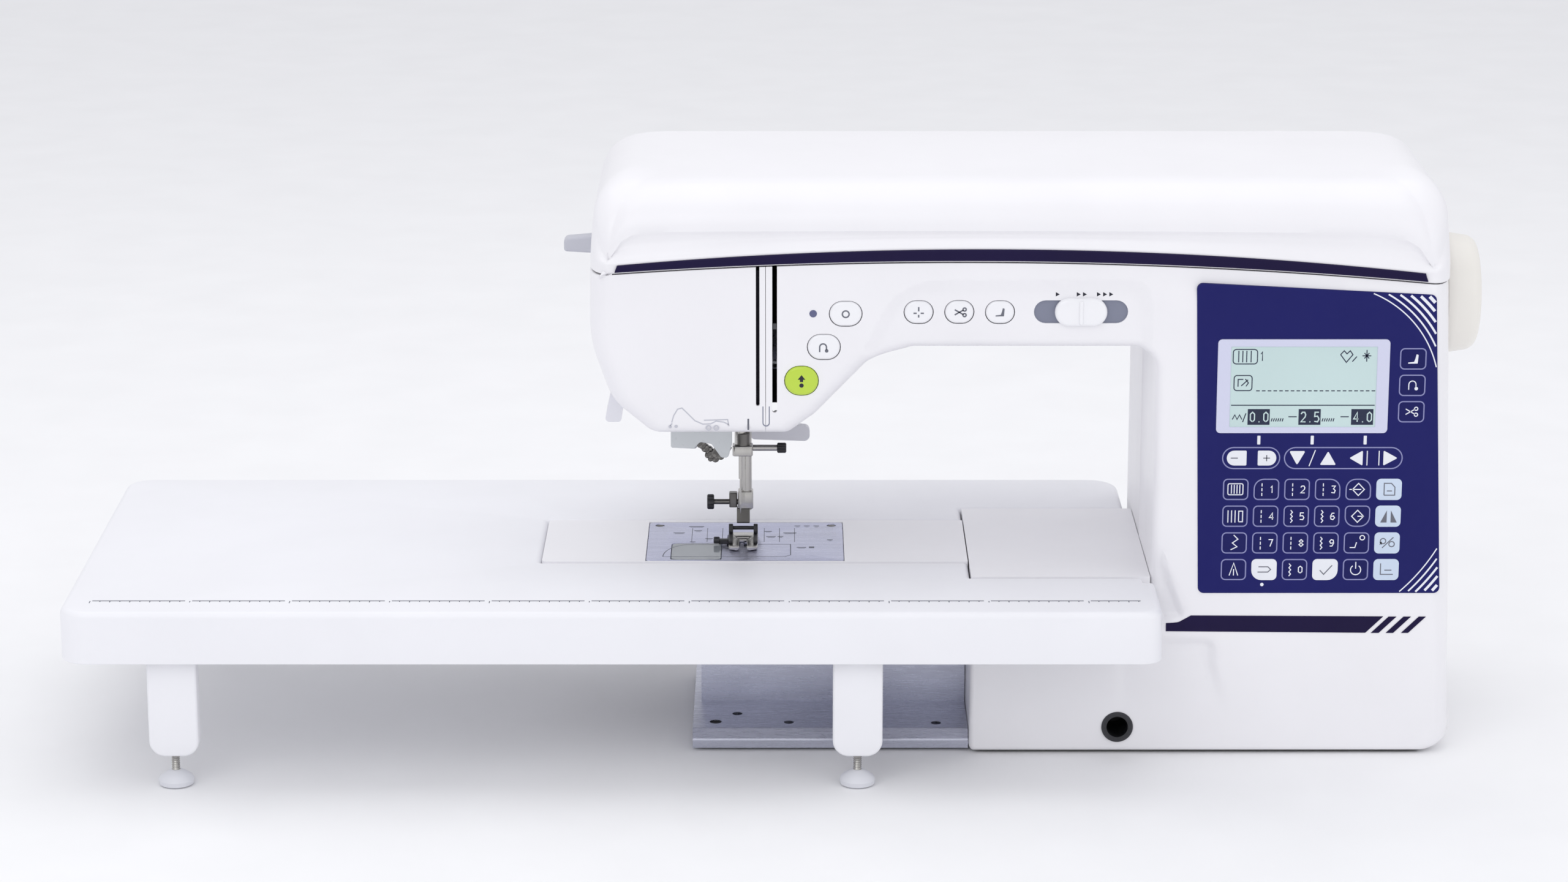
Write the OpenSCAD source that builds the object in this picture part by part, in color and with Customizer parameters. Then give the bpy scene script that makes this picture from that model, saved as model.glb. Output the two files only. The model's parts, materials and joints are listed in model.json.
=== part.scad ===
// Computerised household sewing machine with a wide extension table.
// Millimetres, +Z up, +X towards the handwheel, +Y away from the operator.
// The origin is the middle of the footprint, on the surface the machine stands on.

/* [Overall] */
// Height of the closed lid above the surface
machine_top = 300; // [296:1:304]
// Height of the sewing surface
bed_top = 94; // [93:1:95]
// Wall thickness of the moulded housings
wall = 3; // [2.4:0.2:3.2]

/* [Needle axis] */
// Sideways place of the needle from the middle of the footprint
needle_x = -19; // [-20:0.5:-18]
// Front-to-back place of the needle from the middle of the footprint
needle_y = 2.5; // [2:0.5:3]
// Travel of the needle bar
needle_stroke = 33; // [30:1:33]

/* [Extension table] */
// Left end of the table, from the needle
table_left = -340; // [-345:1:-335]
// Right end of the table's front strip, from the needle
table_right = 210; // [209:1:211]
// Front edge of the table, from the needle
table_front = -127.5; // [-128:0.5:-127]
// Rear edge of the table, from the needle
table_rear = 122.5; // [122:0.5:123]
// Height of the table's apron
apron_h = 27; // [26.6:0.1:27.2]
// Width of each leg
leg_w = 25; // [23:1:27]

/* [Housing] */
// Front face of the head and the arm, from the needle
front_y = -70; // [-70.5:0.5:-70]
// Rear face of the housing, from the needle
rear_y = 96; // [94:1:98]
// Seam between the front and the rear housing
seam_y = 8; // [7.5:0.5:8]
// Height where the lid meets the housings
lid_z = 257; // [256.5:0.5:257.5]
// Height of the base under the bed
base_top = 66.3; // [66:0.1:66.4]

/* [Drive] */
// Height of the main shaft and the handwheel
shaft_z = 228; // [227:0.5:229]
// Radius of the handwheel
wheel_r = 31; // [28:1:33]
// Radius of the main shaft
shaft_r = 5; // [4.8:0.1:5]

/* [Hidden] */
$fn = 48;
gap = 0.3;
fit = 0.05;
far = 400;

table_z = bed_top - apron_h;
arm_left = -103.7;
arm_front = -38;
arm_rear = 39;
arm_z = 45;
bed_left = 116.6;
bed_front = -65;
bed_rear = 62;
column_x = 208.5;
throat_z = 214.5;
head_z = 169.5;
cover_x = 12.2;
base_z = 1.5;
foot_right = 366.5;
top_right = 357.5;
floor_right = 348;
lid_wall = 2.5;
arm_wall = 2.5;

leg_xs = [-285, 58.4];
leg_ys = [-115, 110];
leg_pivot_z = 76;
leg_bottom = 16;
leg_t = 10;
foot_r = 9;
leg_screw_r = 2.15;

needle_at = -1.3;
bar_r = 3.1;
bar_bottom = 147;
bar_top = 253;
presser_at = [1.5, 12];
presser_r = 3;
holder_z = 108;

plate = [-50, 52.4, -36.5, 35];
plate_t = 1.8;
hook_at = [-16, -16];
hook_r = 17.5;
hatch = [-37, -11.4, -34, -5];
clamp_z = 144.6;
holder_screw_z = 112;

shaft_left = 14;
shaft_end = 374;
wheel_x = 360;
wheel_t = 18;
bearing_xs = [40, 150, 262];

low_left = -64;
low_end = 297;
low_bearing_xs = [-60, 60, 225];
low_y = 6;
low_z = 56;
low_r = 4;
low_pulley_x = 285;
pulley_r = 12;
motor_y = 55;
motor_z = 60;
motor_pulley_x = 318;
motor_pulley_r = 6;
big_pulley_r = 22;
belt_t = 1.5;

lever_at = [8, 177];
threader_y = 40;
takeup_x = 16.7;
takeup_at = [-34, 200];
lid_rear = 78;
spool_at = [30, 16];
winder_at = [300, 14];
hinge_at = [82.6, 263];
hinge_xs = [40, 260];
handle_xs = [70, 240];
handle_at = [101, 240];
handle_drop = 20;

slider_x = 170.3;
slider_z = 233.3;
slider_travel = 9.5;
knee_at = [192.5, 15.2];
knee_r = 5.5;
panel = [227.6, 355, 87.5, 249];
lcd = [239, 326, 172, 220.5];
strip = [-64, 344, 250.6, 255.6];
strip_step = 17;
switch_x = 354.6;
switch_at = [-20, 51];
switch_r = 10.5;
switch_w = 16;
inlet = [342, 364.6, 20.3, 47.7, 28.3, 51.7];

white = [0.94, 0.94, 0.96];
shade = [0.86, 0.86, 0.89];
purple = [0.14, 0.1, 0.3];
blue = [0.18, 0.2, 0.46];
steel = [0.72, 0.73, 0.76];
alloy = [0.66, 0.67, 0.7];
dark = [0.12, 0.12, 0.13];
lime = [0.75, 0.87, 0.32];
glass = [0.76, 0.86, 0.86];

// ---- shape helpers -------------------------------------------------------------------------

module at_needle() {
    translate([needle_x, needle_y, 0]) children();
}

// A box given by its low and high corners.
module span(low, high) {
    translate(low) cube(high - low);
}

// A rod along an axis: its centre line starts at a point.
module rod_x(at, r, length) {
    translate(at) rotate([0, 90, 0]) cylinder(r = r, h = length);
}

module rod_y(at, r, length) {
    translate(at) rotate([-90, 0, 0]) cylinder(r = r, h = length);
}

module rod_z(at, r, length) {
    translate(at) cylinder(r = r, h = length);
}

function unit(v) = v / norm(v);
function side(a, b) = unit([b[0] - a[0], b[1] - a[1]]);
function turn(p, i) =
    let (n = len(p), d = side(p[(i + n - 1) % n], p[i]), e = side(p[i], p[(i + 1) % n]))
    d[0] * e[1] - d[1] * e[0];

// An outline [[x, y, corner radius], ...], counter-clockwise, moved inwards by d.
function shrunk(p, d) = [for (i = [0 : len(p) - 1])
    let (
        n = len(p),
        a = side(p[(i + n - 1) % n], p[i]),
        b = side(p[i], p[(i + 1) % n]),
        k = d / (1 + a[0] * b[0] + a[1] * b[1]),
        r = turn(p, i) > 0 ? max(p[i][2] - d, 0) : p[i][2] + d
    )
    [p[i][0] - k * (a[1] + b[1]), p[i][1] + k * (a[0] + b[0]), r]];

// The points of an outline with its corners rounded.
function rounded(p, steps = 8) = [for (i = [0 : len(p) - 1])
    let (
        n = len(p),
        v = [p[i][0], p[i][1]],
        a = side(p[(i + n - 1) % n], p[i]),
        b = side(p[i], p[(i + 1) % n]),
        bend = acos(max(-1, min(1, a[0] * b[0] + a[1] * b[1]))),
        back = p[i][2] * tan(bend / 2),
        s = turn(p, i) > 0 ? 1 : -1,
        c = v - back * a + s * p[i][2] * [-a[1], a[0]]
    )
    for (k = [0 : p[i][2] > 0 ? steps : 0])
        let (t = s * bend * k / steps, w = -s * p[i][2] * [-a[1], a[0]])
        p[i][2] > 0 ? c + [w[0] * cos(t) - w[1] * sin(t), w[0] * sin(t) + w[1] * cos(t)] : v];

// An outline in X and Z, drawn between two Y planes.
module slab_y(p, y0, y1) {
    translate([0, y1, 0]) rotate([90, 0, 0]) linear_extrude(y1 - y0) polygon(rounded(p));
}

// An outline in Y and Z, drawn between two X planes.
module slab_x(p, x0, x1) {
    translate([x0, 0, 0]) rotate([90, 0, 90]) linear_extrude(x1 - x0) polygon(rounded(p));
}

// An outline in X and Y, drawn between two heights.
module slab_z(p, z0, z1) {
    translate([0, 0, z0]) linear_extrude(z1 - z0) polygon(rounded(p));
}

// A round-ended bar in the front face: half width w, half height h, between two Y planes.
module pill_y(at, w, h, y0, y1) {
    for (s = [-1, 1])
        rod_y([at[0] + s * (w - h), y0, at[1]], h, y1 - y0);
    span([at[0] - w + h, y0, at[1] - h], [at[0] + w - h, y1, at[1] + h]);
}

// ---- extension table -----------------------------------------------------------------------

function table_outline() = [
    [table_left, table_front, 14], [table_right, table_front, 10],
    [table_right, front_y - 0.6, 1], [column_x - 4, front_y - 0.6, 1],
    [column_x - 4, table_rear, 16], [table_left, table_rear, 14]
];

module arm_cutout(margin, z0, z1) {
    span([arm_left - gap - margin, arm_front - gap - margin, z0],
        [far, arm_rear + gap + margin, z1]);
    span([bed_left - gap - margin, bed_front - 0.5 - margin, z0],
        [far, bed_rear + 0.5 + margin, z1]);
}

// Two ears in front of and behind a leg, for its folding pin.
module leg_ears(x, y) {
    for (s = [-1, 1])
        translate([x - 6, y + s * (leg_t / 2 + 1.8) - 1.5, table_z + 1])
            cube([12, 3, apron_h - 3]);
}

module extension_table() {
    color(white) at_needle() difference() {
        union() {
            difference() {
                slab_z(table_outline(), table_z, bed_top);
                difference() {
                    slab_z(shrunk(table_outline(), wall), table_z - 1, bed_top - wall);
                    arm_cutout(2.5, table_z - 1, bed_top);
                    for (x = [-250 : 50 : -150])
                        span([x, -100, bed_top - 12], [x + 2, 95, bed_top]);
                }
            }
            for (x = leg_xs)
                for (y = leg_ys)
                    leg_ears(x, y);
        }
        arm_cutout(0, table_z - 1, bed_top + 1);
        for (x = leg_xs)
            for (y = leg_ys)
                rod_y([x, y - leg_t / 2 - 3.1, leg_pivot_z], 2.5 + fit, leg_t + 6.2);
    }
}

function leg_outline() = [
    [-leg_w / 2, leg_bottom, 8], [leg_w / 2, leg_bottom, 8],
    [leg_w / 2, leg_pivot_z + 5, 1], [-leg_w / 2, leg_pivot_z + 5, 1]
];

module table_leg(x, y) {
    color(white) at_needle() translate([x, y, 0]) difference() {
        union() {
            slab_y(leg_outline(), -leg_t / 2, leg_t / 2);
            rod_y([0, -leg_t / 2 - 3, leg_pivot_z], 2.5, leg_t + 6);
        }
        rod_z([0, 0, leg_bottom - 1], leg_screw_r + fit, 24);
    }
}

module table_foot(x, y) {
    color(shade) at_needle() translate([x, y, 0]) {
        rod_z([0, 0, 7], leg_screw_r, 24);
        rotate_extrude() polygon([[0, 0], [4.5, 0], [7.6, 1.6], [foot_r, 4.4],
            [foot_r, 6.6], [7.6, 8], [0, 8]]);
    }
}

module table_leg_front_left() { table_leg(leg_xs[0], leg_ys[0]); }
module table_leg_front_right() { table_leg(leg_xs[1], leg_ys[0]); }
module table_leg_rear_left() { table_leg(leg_xs[0], leg_ys[1]); }
module table_leg_rear_right() { table_leg(leg_xs[1], leg_ys[1]); }
module table_foot_front_left() { table_foot(leg_xs[0], leg_ys[0]); }
module table_foot_front_right() { table_foot(leg_xs[1], leg_ys[0]); }
module table_foot_rear_left() { table_foot(leg_xs[0], leg_ys[1]); }
module table_foot_rear_right() { table_foot(leg_xs[1], leg_ys[1]); }

// ---- housings ------------------------------------------------------------------------------

// The C of the machine seen from the front: base, column, arm and head.
function body_outline() = [
    [bed_left, base_z, 2], [foot_right, base_z, 16], [top_right, lid_z, 0], [-74, lid_z, 0],
    [-76.5, 222, 30], [-66, 190, 20], [-42, head_z, 10], [25, head_z, 8],
    [37, 179, 8], [66, 209, 10], [85, throat_z, 12], [column_x, throat_z, 10],
    [column_x, base_top, 0], [bed_left, base_top, 0]
];

// Half a housing: the outline's wall between two Y planes, closed by a plate at one of them.
module half_shell(y0, y1, plate_front) {
    difference() {
        slab_y(body_outline(), y0, y1);
        slab_y(shrunk(body_outline(), wall), plate_front ? y0 + wall : y0 - 1,
            plate_front ? y1 + 1 : y1 - wall);
        // The base plate closes the bottom, and the bed's frame comes in on the left.
        span([bed_left + wall, y0 + (plate_front ? wall : -1), 0],
            [floor_right + gap, y1 + (plate_front ? 1 : -wall), 5]);
        span([bed_left - 1, -59, 0], [bed_left + 4, 59, 5]);
        span([bed_left - 1, -34, 47], [bed_left + 4, 35, 64]);
        // Opening under the head for the needle and presser bars.
        span([-34, -30, head_z - 1], [30, 30, head_z + 8]);
    }
}

buttons = [[52.3, 232.9, 7.4, 5.8], [41.4, 215.8, 7.4, 5.8], [30.2, 198.4, 8, 7.2],
    [88.9, 233.1, 6.8, 5.4], [109.3, 233.2, 6.8, 5.4], [129.7, 233.1, 6.8, 5.4]];

module front_housing() {
    color(white) at_needle() difference() {
        half_shell(front_y, seam_y - 0.2, true);
        span([-200, -far / 2, 0], [cover_x, far / 2, machine_top]);
        for (b = buttons)
            pill_y([b[0], b[1]], b[2] + gap, b[3] + gap, front_y - 1, front_y + wall + 1);
        pill_y([slider_x, slider_z], slider_travel + 3, 1.9, front_y - 1, front_y + wall + 1);
        span([lcd[0] - gap, front_y - 1, lcd[2] - gap], [lcd[1] + gap, front_y + wall + 1, lcd[3] + gap]);
        span([15.5, front_y - 1, 181.8], [17.9, front_y + wall + 1, 256.5]);
        rod_y([36, front_y - 1, 233], 1.9, wall + 2);
        rod_y([knee_at[0], front_y - 1, knee_at[1]], knee_r + 2, wall + 2);
        rod_x([300, 0, shaft_z], shaft_r + 2, 80);
        translate([350, switch_at[0], switch_at[1]])
            span([0, -switch_w / 2 - 0.4, -switch_w / 2 - 0.4], [20, switch_w / 2 + 0.4, switch_w / 2 + 0.4]);
    }
}

module rear_housing() {
    color(white) at_needle() difference() {
        union() {
            half_shell(seam_y, rear_y, false);
            // Ears and pins of the lid's hinges.
            for (x = hinge_xs) {
                for (e = [x - 4, x + 20.5])
                    span([e, hinge_at[0] - 3, lid_z - 1], [e + 3.5, hinge_at[0] + 3.4, hinge_at[1] + 3.2]);
                rod_x([x - 4, hinge_at[0], hinge_at[1]], 1.5, 28);
            }
        }
        span([0, 36, head_z - 1], [20, 46, head_z + 8]);
        span([inlet[0] - 2, inlet[2] - gap, inlet[4] - gap], [370, inlet[3] + gap, inlet[5] + gap]);
        span([-90, threader_y - 3, 206], [-60, threader_y + 3, 251]);
        for (s = screws)
            rod_y([s[0], rear_y - wall - 1, s[1]], 3.1, wall + 2);
        for (x = handle_xs)
            rod_y([x, rear_y - wall - 1, handle_at[1]], 2.6, wall + 2);
    }
}

screws = [[-50, 205], [60, 250], [340, 250], [340, 30], [140, 30], [225, 120]];

// The housing screws, and the two studs the handle turns on.
module housing_screws() {
    color(steel) at_needle() {
        for (s = screws) {
            rod_y([s[0], rear_y - 12, s[1]], 2, 12);
            rod_y([s[0], rear_y - wall, s[1]], 3, wall + 0.8);
        }
        for (x = handle_xs) {
            rod_y([x, rear_y - 12, handle_at[1]], 2.5, 17);
            rod_x([x - 8, handle_at[0], handle_at[1]], 2, 16);
        }
    }
}

// The left end of the head, up to the thread slot.
module face_cover() {
    color(white) at_needle() difference() {
        half_shell(front_y, seam_y - 0.2, true);
        span([cover_x - 0.2, -far / 2, 0], [far, far / 2, machine_top]);
        span([7.3, front_y - 1, 185], [9.1, front_y + wall + 1, 256.5]);
    }
}

function lid_front_outline() = [
    [-74, lid_z + 0.5, 0], [top_right, lid_z + 0.5, 0], [355, machine_top, 20], [-72, machine_top, 25]
];

function lid_side_outline() = [
    [front_y, lid_z + 0.5, 0], [lid_rear, lid_z + 0.5, 0], [lid_rear, machine_top, 14],
    [20, machine_top, 0], [-52, machine_top - 4, 26], [-64, 272, 8], [front_y, 265, 3]
];

module top_lid() {
    color(white) at_needle() difference() {
        union() {
            difference() {
                intersection() {
                    slab_y(lid_front_outline(), -80, 80);
                    slab_x(lid_side_outline(), -90, far);
                }
                intersection() {
                    slab_y(shrunk(lid_front_outline(), lid_wall), -80, 80);
                    slab_x(shrunk(lid_side_outline(), lid_wall), -90, far);
                }
                span([-71, front_y + lid_wall, lid_z], [top_right - 3, lid_rear - lid_wall, lid_z + 4]);
            }
            for (x = hinge_xs) {
                rod_x([x, hinge_at[0], hinge_at[1]], 3.4, 20);
                span([x, lid_rear - 1, hinge_at[1] - 3.4], [x + 20, hinge_at[0], hinge_at[1] + 3.4]);
            }
        }
        for (x = hinge_xs)
            rod_x([x - 10, hinge_at[0], hinge_at[1]], 1.55, 40);
    }
}

module carry_handle() {
    color(shade) at_needle() difference() {
        union() {
            for (x = [handle_xs[0] - 5, handle_xs[1] - 5]) {
                span([x, handle_at[0] - 4, handle_at[1] - handle_drop], [x + 10, handle_at[0] + 4, handle_at[1]]);
                rod_x([x, handle_at[0], handle_at[1]], 4, 10);
            }
            rod_x([handle_xs[0] - 5, handle_at[0], handle_at[1] - handle_drop],
                4.5, handle_xs[1] - handle_xs[0] + 10);
        }
        for (x = handle_xs) {
            rod_x([x - 10, handle_at[0], handle_at[1]], 2 + fit, 20);
            span([x - 3.3, handle_at[0] - 6, handle_at[1] - 6], [x + 3.3, handle_at[0] + 6, handle_at[1] + 6]);
        }
    }
}

module base_plate() {
    color(alloy) at_needle() {
        difference() {
            union() {
                slab_x([[-64, base_z, 0], [60, base_z, 0], [60, 11, 1], [-60, 11, 1], [-64, 6, 2]],
                    -25.7, bed_left - gap);
                // Pedestal that carries the free arm.
                span([-22, -15, 10], [bed_left - gap, 30, arm_z - 0.2]);
                span([100, -58, base_z], [124, 58, 4.5]);
                span([bed_left + wall + gap, -66, base_z], [floor_right, 92, 4.5]);
            }
            difference() {
                span([-22.7, -61, 0], [bed_left - 3, 57, 8]);
                for (p = [pads[0], pads[1]])
                    rod_z([p[0], p[1], base_z], 9, 9);
            }
            span([-19, -12, 7], [bed_left + 1, 27, arm_z + 1]);
            for (p = [[-2.9, -37], [23.9, -50.9], [100.1, -51.9]])
                rod_z([p[0], p[1], 0], 2.6, 20);
            for (p = pads)
                rod_z([p[0], p[1], 0], 3.1, 20);
        }
    }
}

pads = [[-14, -50], [-14, 46], [330, -54], [330, 80]];

module rubber_feet() {
    color(dark) at_needle() for (p = pads) {
        rod_z([p[0], p[1], 0], 9, base_z);
        rod_z([p[0], p[1], base_z], 3, 9);
    }
}

module bed_cover() {
    color(white) at_needle() difference() {
        span([bed_left + gap, bed_front, base_top + gap], [column_x - gap, bed_rear, bed_top]);
        span([bed_left + 2.8, bed_front + 2.5, base_top - 1], [column_x - 2.8, bed_rear - 2.5, bed_top - wall]);
    }
}

module free_arm_cover() {
    color(white) at_needle() difference() {
        slab_z([[arm_left, arm_front, 3], [bed_left - gap, arm_front, 0], [bed_left - gap, arm_rear, 0],
            [arm_left, arm_rear, 3]], arm_z, bed_top);
        span([arm_left + arm_wall, arm_front + arm_wall, arm_z + arm_wall],
            [bed_left + 1, arm_rear - arm_wall, bed_top - wall]);
        span([plate[0] - gap, plate[2] - gap, bed_top - plate_t], [plate[1] + gap, plate[3] + gap, bed_top + 1]);
        span([plate[0] + 3, plate[2] + 2, bed_top - 5], [plate[1] - 3, plate[3] - 3, bed_top]);
    }
}

// ---- frame and drive -----------------------------------------------------------------------

module chassis() {
    color(alloy) at_needle() difference() {
        union() {
            span([-20, 22, 214 + wall + 1], [300, 40, 246]);
            span([215, 22, 4.5], [245, 40, 246]);
            span([-90, 18, 49], [245, 32, 63]);
            // Head frame with the guides of the needle and presser bars.
            span([-20, -6, 174], [-12, 24, 246]);
            for (z = [174, 203])
                span([-20, -6, z], [7, 20, z + 6]);
            // Bearings of the main shaft.
            for (x = bearing_xs)
                span([x, -8, shaft_z - 9], [x + 8, 24, shaft_z + 9]);
            // Bearings of the lower shaft.
            for (x = low_bearing_xs)
                span([x, low_y - 7, 49], [x + 6, 20, 63]);
            // Bearing of the hook.
            span([hook_at[0] - 5, hook_at[1] - 5, 64.6], [hook_at[0] + 5, 32, 67.6]);
            span([hook_at[0] - 5, 18, 60], [hook_at[0] + 5, 32, 67.6]);
            // Hanger and stud of the presser lever.
            span([lever_at[0] - 4, 30, head_z + wall + 0.5], [lever_at[0] + 4, 36, 220]);
            rod_y([lever_at[0], 34, lever_at[1]], 2.5, 10);
            // Stud of the take-up lever.
            rod_x([takeup_x - 3, takeup_at[0], takeup_at[1]], 2, 12);
            span([24, takeup_at[0] - 4, takeup_at[1] - 4], [28, 24, takeup_at[1] + 4]);
            span([24, 18, takeup_at[1] - 4], [28, 32, 230]);
        }
        rod_z([needle_at, 0, 100], bar_r + fit, 160);
        rod_z([presser_at[0], presser_at[1], 100], presser_r + fit, 160);
        rod_x([0, 0, shaft_z], shaft_r + fit, 290);
        rod_x([-70, low_y, low_z], low_r + fit, 320);
        rod_z([hook_at[0], hook_at[1], 60], 3 + fit, 10);
    }
}

// The upper shaft with its crank and its two pulleys.
module main_shaft() {
    color(steel) at_needle() {
        rod_x([shaft_left, 0, shaft_z], shaft_r, shaft_end - shaft_left);
        rod_x([shaft_left - 1, 0, shaft_z], 20, 5);
        rod_x([8.6, 0, shaft_z + needle_stroke / 2], 3, 5);
        rod_x([low_pulley_x, 0, shaft_z], pulley_r, 10);
        rod_x([motor_pulley_x, 0, shaft_z], big_pulley_r, 12);
    }
}

module handwheel() {
    color(white) at_needle() translate([wheel_x, 0, shaft_z]) rotate([0, 90, 0]) difference() {
        rotate_extrude($fn = 96) polygon(rounded([[0, 0, 0], [wheel_r - 1, 0, 2],
            [wheel_r, 12, 3], [wheel_r - 4, wheel_t, 5], [0, wheel_t, 0]]));
        translate([0, 0, -1]) cylinder(r = shaft_r + 0.01, h = shaft_end - wheel_x + 1.2);
    }
}

module lower_shaft() {
    color(steel) at_needle() {
        rod_x([low_left, low_y, low_z], low_r, low_end - low_left);
        rod_x([hook_at[0] - 4, low_y, low_z], 8, 8);
        rod_x([low_pulley_x, low_y, low_z], pulley_r, 10);
    }
}

module motor() {
    color(dark) at_needle() {
        rod_x([252, motor_y, motor_z], 26, 58);
        rod_x([309, motor_y, motor_z], 8, 5);
        // Bracket down to the base plate.
        span([262, motor_y - 20, 4.6], [300, motor_y + 20, motor_z - 10]);
    }
}

module motor_pulley() {
    color(steel) at_needle() {
        rod_x([motor_pulley_x, motor_y, motor_z], motor_pulley_r, 12);
        rod_x([314.3, motor_y, motor_z], 2.5, 5);
    }
}

// A belt round two pulleys in a plane across the shafts.
module belt(x, w, a, ra, b, rb) {
    translate([x, 0, 0]) rotate([90, 0, 90]) linear_extrude(w) difference() {
        hull() {
            translate(a) circle(ra + gap + belt_t);
            translate(b) circle(rb + gap + belt_t);
        }
        hull() {
            translate(a) circle(ra + gap);
            translate(b) circle(rb + gap);
        }
    }
}

module drive_belts() {
    color(dark) at_needle() {
        belt(low_pulley_x + 1, 8, [0, shaft_z], pulley_r, [low_y, low_z], pulley_r);
        belt(motor_pulley_x + 1, 10, [0, shaft_z], big_pulley_r, [motor_y, motor_z], motor_pulley_r);
    }
}

// ---- stitch forming ------------------------------------------------------------------------

module needle_plate() {
    color(steel) at_needle() difference() {
        span([plate[0], plate[2], bed_top - plate_t], [plate[1], plate[3], bed_top]);
        span([hatch[0] - gap, hatch[2] - gap, bed_top - 5], [hatch[1] + gap, hatch[3] + gap, bed_top + 1]);
        for (x = dog_xs)
            span([x - 0.4, dog_y[0] - 0.8, bed_top - 5], [x + 2.4, dog_y[1] + 0.8, bed_top + 1]);
        span([needle_at - 3.8, -1.3, bed_top - 5], [needle_at + 3.8, 1.3, bed_top + 1]);
        for (x = [plate[0] + 6, plate[1] - 6])
            rod_z([x, 26, bed_top - 5], 2, 9);
    }
}

dog_xs = [-8, -4.5, 3, 6.5];
dog_y = [3, 17];

module feed_dogs() {
    color(steel) at_needle() {
        span([-9, 2, 87], [9.5, 18, 90]);
        for (x = dog_xs)
            for (y = [dog_y[0] : 2 : dog_y[1] - 2])
                translate([x, y, 90]) rotate([90, 0, 90]) linear_extrude(2)
                    polygon([[0, 0], [2, 0], [2, 3.6], [0, 2.6]]);
    }
}

module bobbin_cover() {
    color(glass) at_needle() slab_z([[hatch[0], hatch[2], 3], [hatch[1], hatch[2], 3],
        [hatch[1], hatch[3], 3], [hatch[0], hatch[3], 3]], bed_top - plate_t, bed_top);
}

module bobbin() {
    color(glass) at_needle() translate([hook_at[0], hook_at[1], 72]) rotate_extrude()
        polygon([[3, 0], [10.2, 0], [10.2, 1], [5, 1], [5, 10.5], [10.2, 10.5], [10.2, 11.5], [3, 11.5]]);
}

module bobbin_case() {
    color(dark) at_needle() translate([hook_at[0], hook_at[1], 70.5]) rotate_extrude()
        polygon([[0, 0], [15.2, 0], [15.2, 13], [14, 13], [14, 1.2], [2.7, 1.2], [2.7, 8], [0, 8]]);
}

module rotary_hook() {
    color(steel) at_needle() translate([hook_at[0], hook_at[1], 0]) {
        translate([0, 0, 68]) rotate_extrude()
            polygon([[0, 0], [hook_r, 0], [hook_r, 14], [15.7, 14], [15.7, 2], [0, 2]]);
        translate([0, 0, 49]) cylinder(r = 3, h = 20);
        translate([0, 0, 52]) cylinder(r = 13.5, h = 8);
    }
}

module needle_bar() {
    color(steel) at_needle() {
        rod_z([needle_at, 0, bar_bottom], bar_r, bar_top - bar_bottom);
        // Clamp that takes the crank's rod.
        span([needle_at - 5, -5, bar_top - 9], [7, 5, bar_top - 1]);
    }
}

module needle_clamp() {
    color(steel) at_needle() difference() {
        union() {
            rod_z([needle_at, 0, 141], 4.2, 12);
            span([needle_at, -3.4, 141.5], [needle_at + 6.5, 3.4, 148]);
        }
        rod_z([needle_at, 0, bar_bottom], bar_r, 20);
        rod_z([needle_at, 0, 130], 1, 30);
        rod_x([needle_at + 1.5, 0, clamp_z], 1.65 + fit, 10);
    }
}

module needle_clamp_screw() {
    color(dark) at_needle() {
        rod_x([needle_at + 1.6, 0, clamp_z], 1.65, 17);
        rod_x([16.6, 0, clamp_z], 3.6, 6);
    }
}

module needle() {
    color(steel) at_needle() {
        rod_z([needle_at, 0, 128], 1, 18.9);
        rod_z([needle_at, 0, 114], 0.5, 15);
        translate([needle_at, 0, 109]) cylinder(r1 = 0.05, r2 = 0.5, h = 5);
    }
}

module presser_bar() {
    color(steel) at_needle() {
        rod_z([presser_at[0], presser_at[1], holder_z], presser_r, 132);
    }
}

module foot_holder() {
    color(steel) at_needle() difference() {
        union() {
            span([presser_at[0] - 5.5, presser_at[1] - 5.5, 103], [presser_at[0] + 5.5, presser_at[1] + 5.5, 118]);
            span([presser_at[0] - 3, 5.2, 99], [presser_at[0] + 3, presser_at[1], 106]);
        }
        rod_z([presser_at[0], presser_at[1], holder_z], presser_r, 20);
        rod_x([presser_at[0] - 10, presser_at[1], holder_screw_z], 1.6 + fit, 8);
    }
}

module foot_holder_screw() {
    color(dark) at_needle() {
        rod_x([-18, presser_at[1], holder_screw_z], 1.6, 15.5);
        rod_x([-19, presser_at[1], holder_screw_z], 4, 7);
    }
}

module presser_foot() {
    color(steel) at_needle() difference() {
        union() {
            // Sole with its turned-up toes, and the fork that clips on the holder.
            slab_x([[-20, 97.6, 0.5], [-15, 94.2, 2], [14, 94.2, 1], [14, 96.6, 1], [-14, 96.6, 2],
                [-20, 99.6, 0.5]],
                needle_at - 9.5, needle_at + 9.5);
            for (x = [presser_at[0] - 7.6, presser_at[0] + 3.6])
                span([x, 5.2, 95], [x + 4, 11, 102.6]);
        }
        span([needle_at - 4.4, -4, 90], [needle_at + 4.4, 2.2, 100]);
        span([needle_at - 1, -30, 90], [needle_at + 1, 0, 110]);
    }
}

module presser_lever() {
    color(shade) at_needle() difference() {
        slab_y([[4, 139, 2], [35, 138, 3], [35, 146, 3], [12, 148, 3], [12, 182, 2], [4, 182, 2]], 38, 43);
        rod_y([lever_at[0], 30, lever_at[1]], 2.5 + fit, 20);
    }
}

module take_up_lever() {
    color(steel) at_needle() difference() {
        union() {
            rod_x([takeup_x - 2, takeup_at[0], takeup_at[1]], 4.5, 4);
            translate([takeup_x - 0.8, takeup_at[0], takeup_at[1]]) rotate([137, 0, 0])
                translate([0, -1.5, -1]) cube([1.6, 38, 3.4]);
        }
        rod_x([takeup_x - 8, takeup_at[0], takeup_at[1]], 2 + fit, 20);
    }
}

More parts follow.
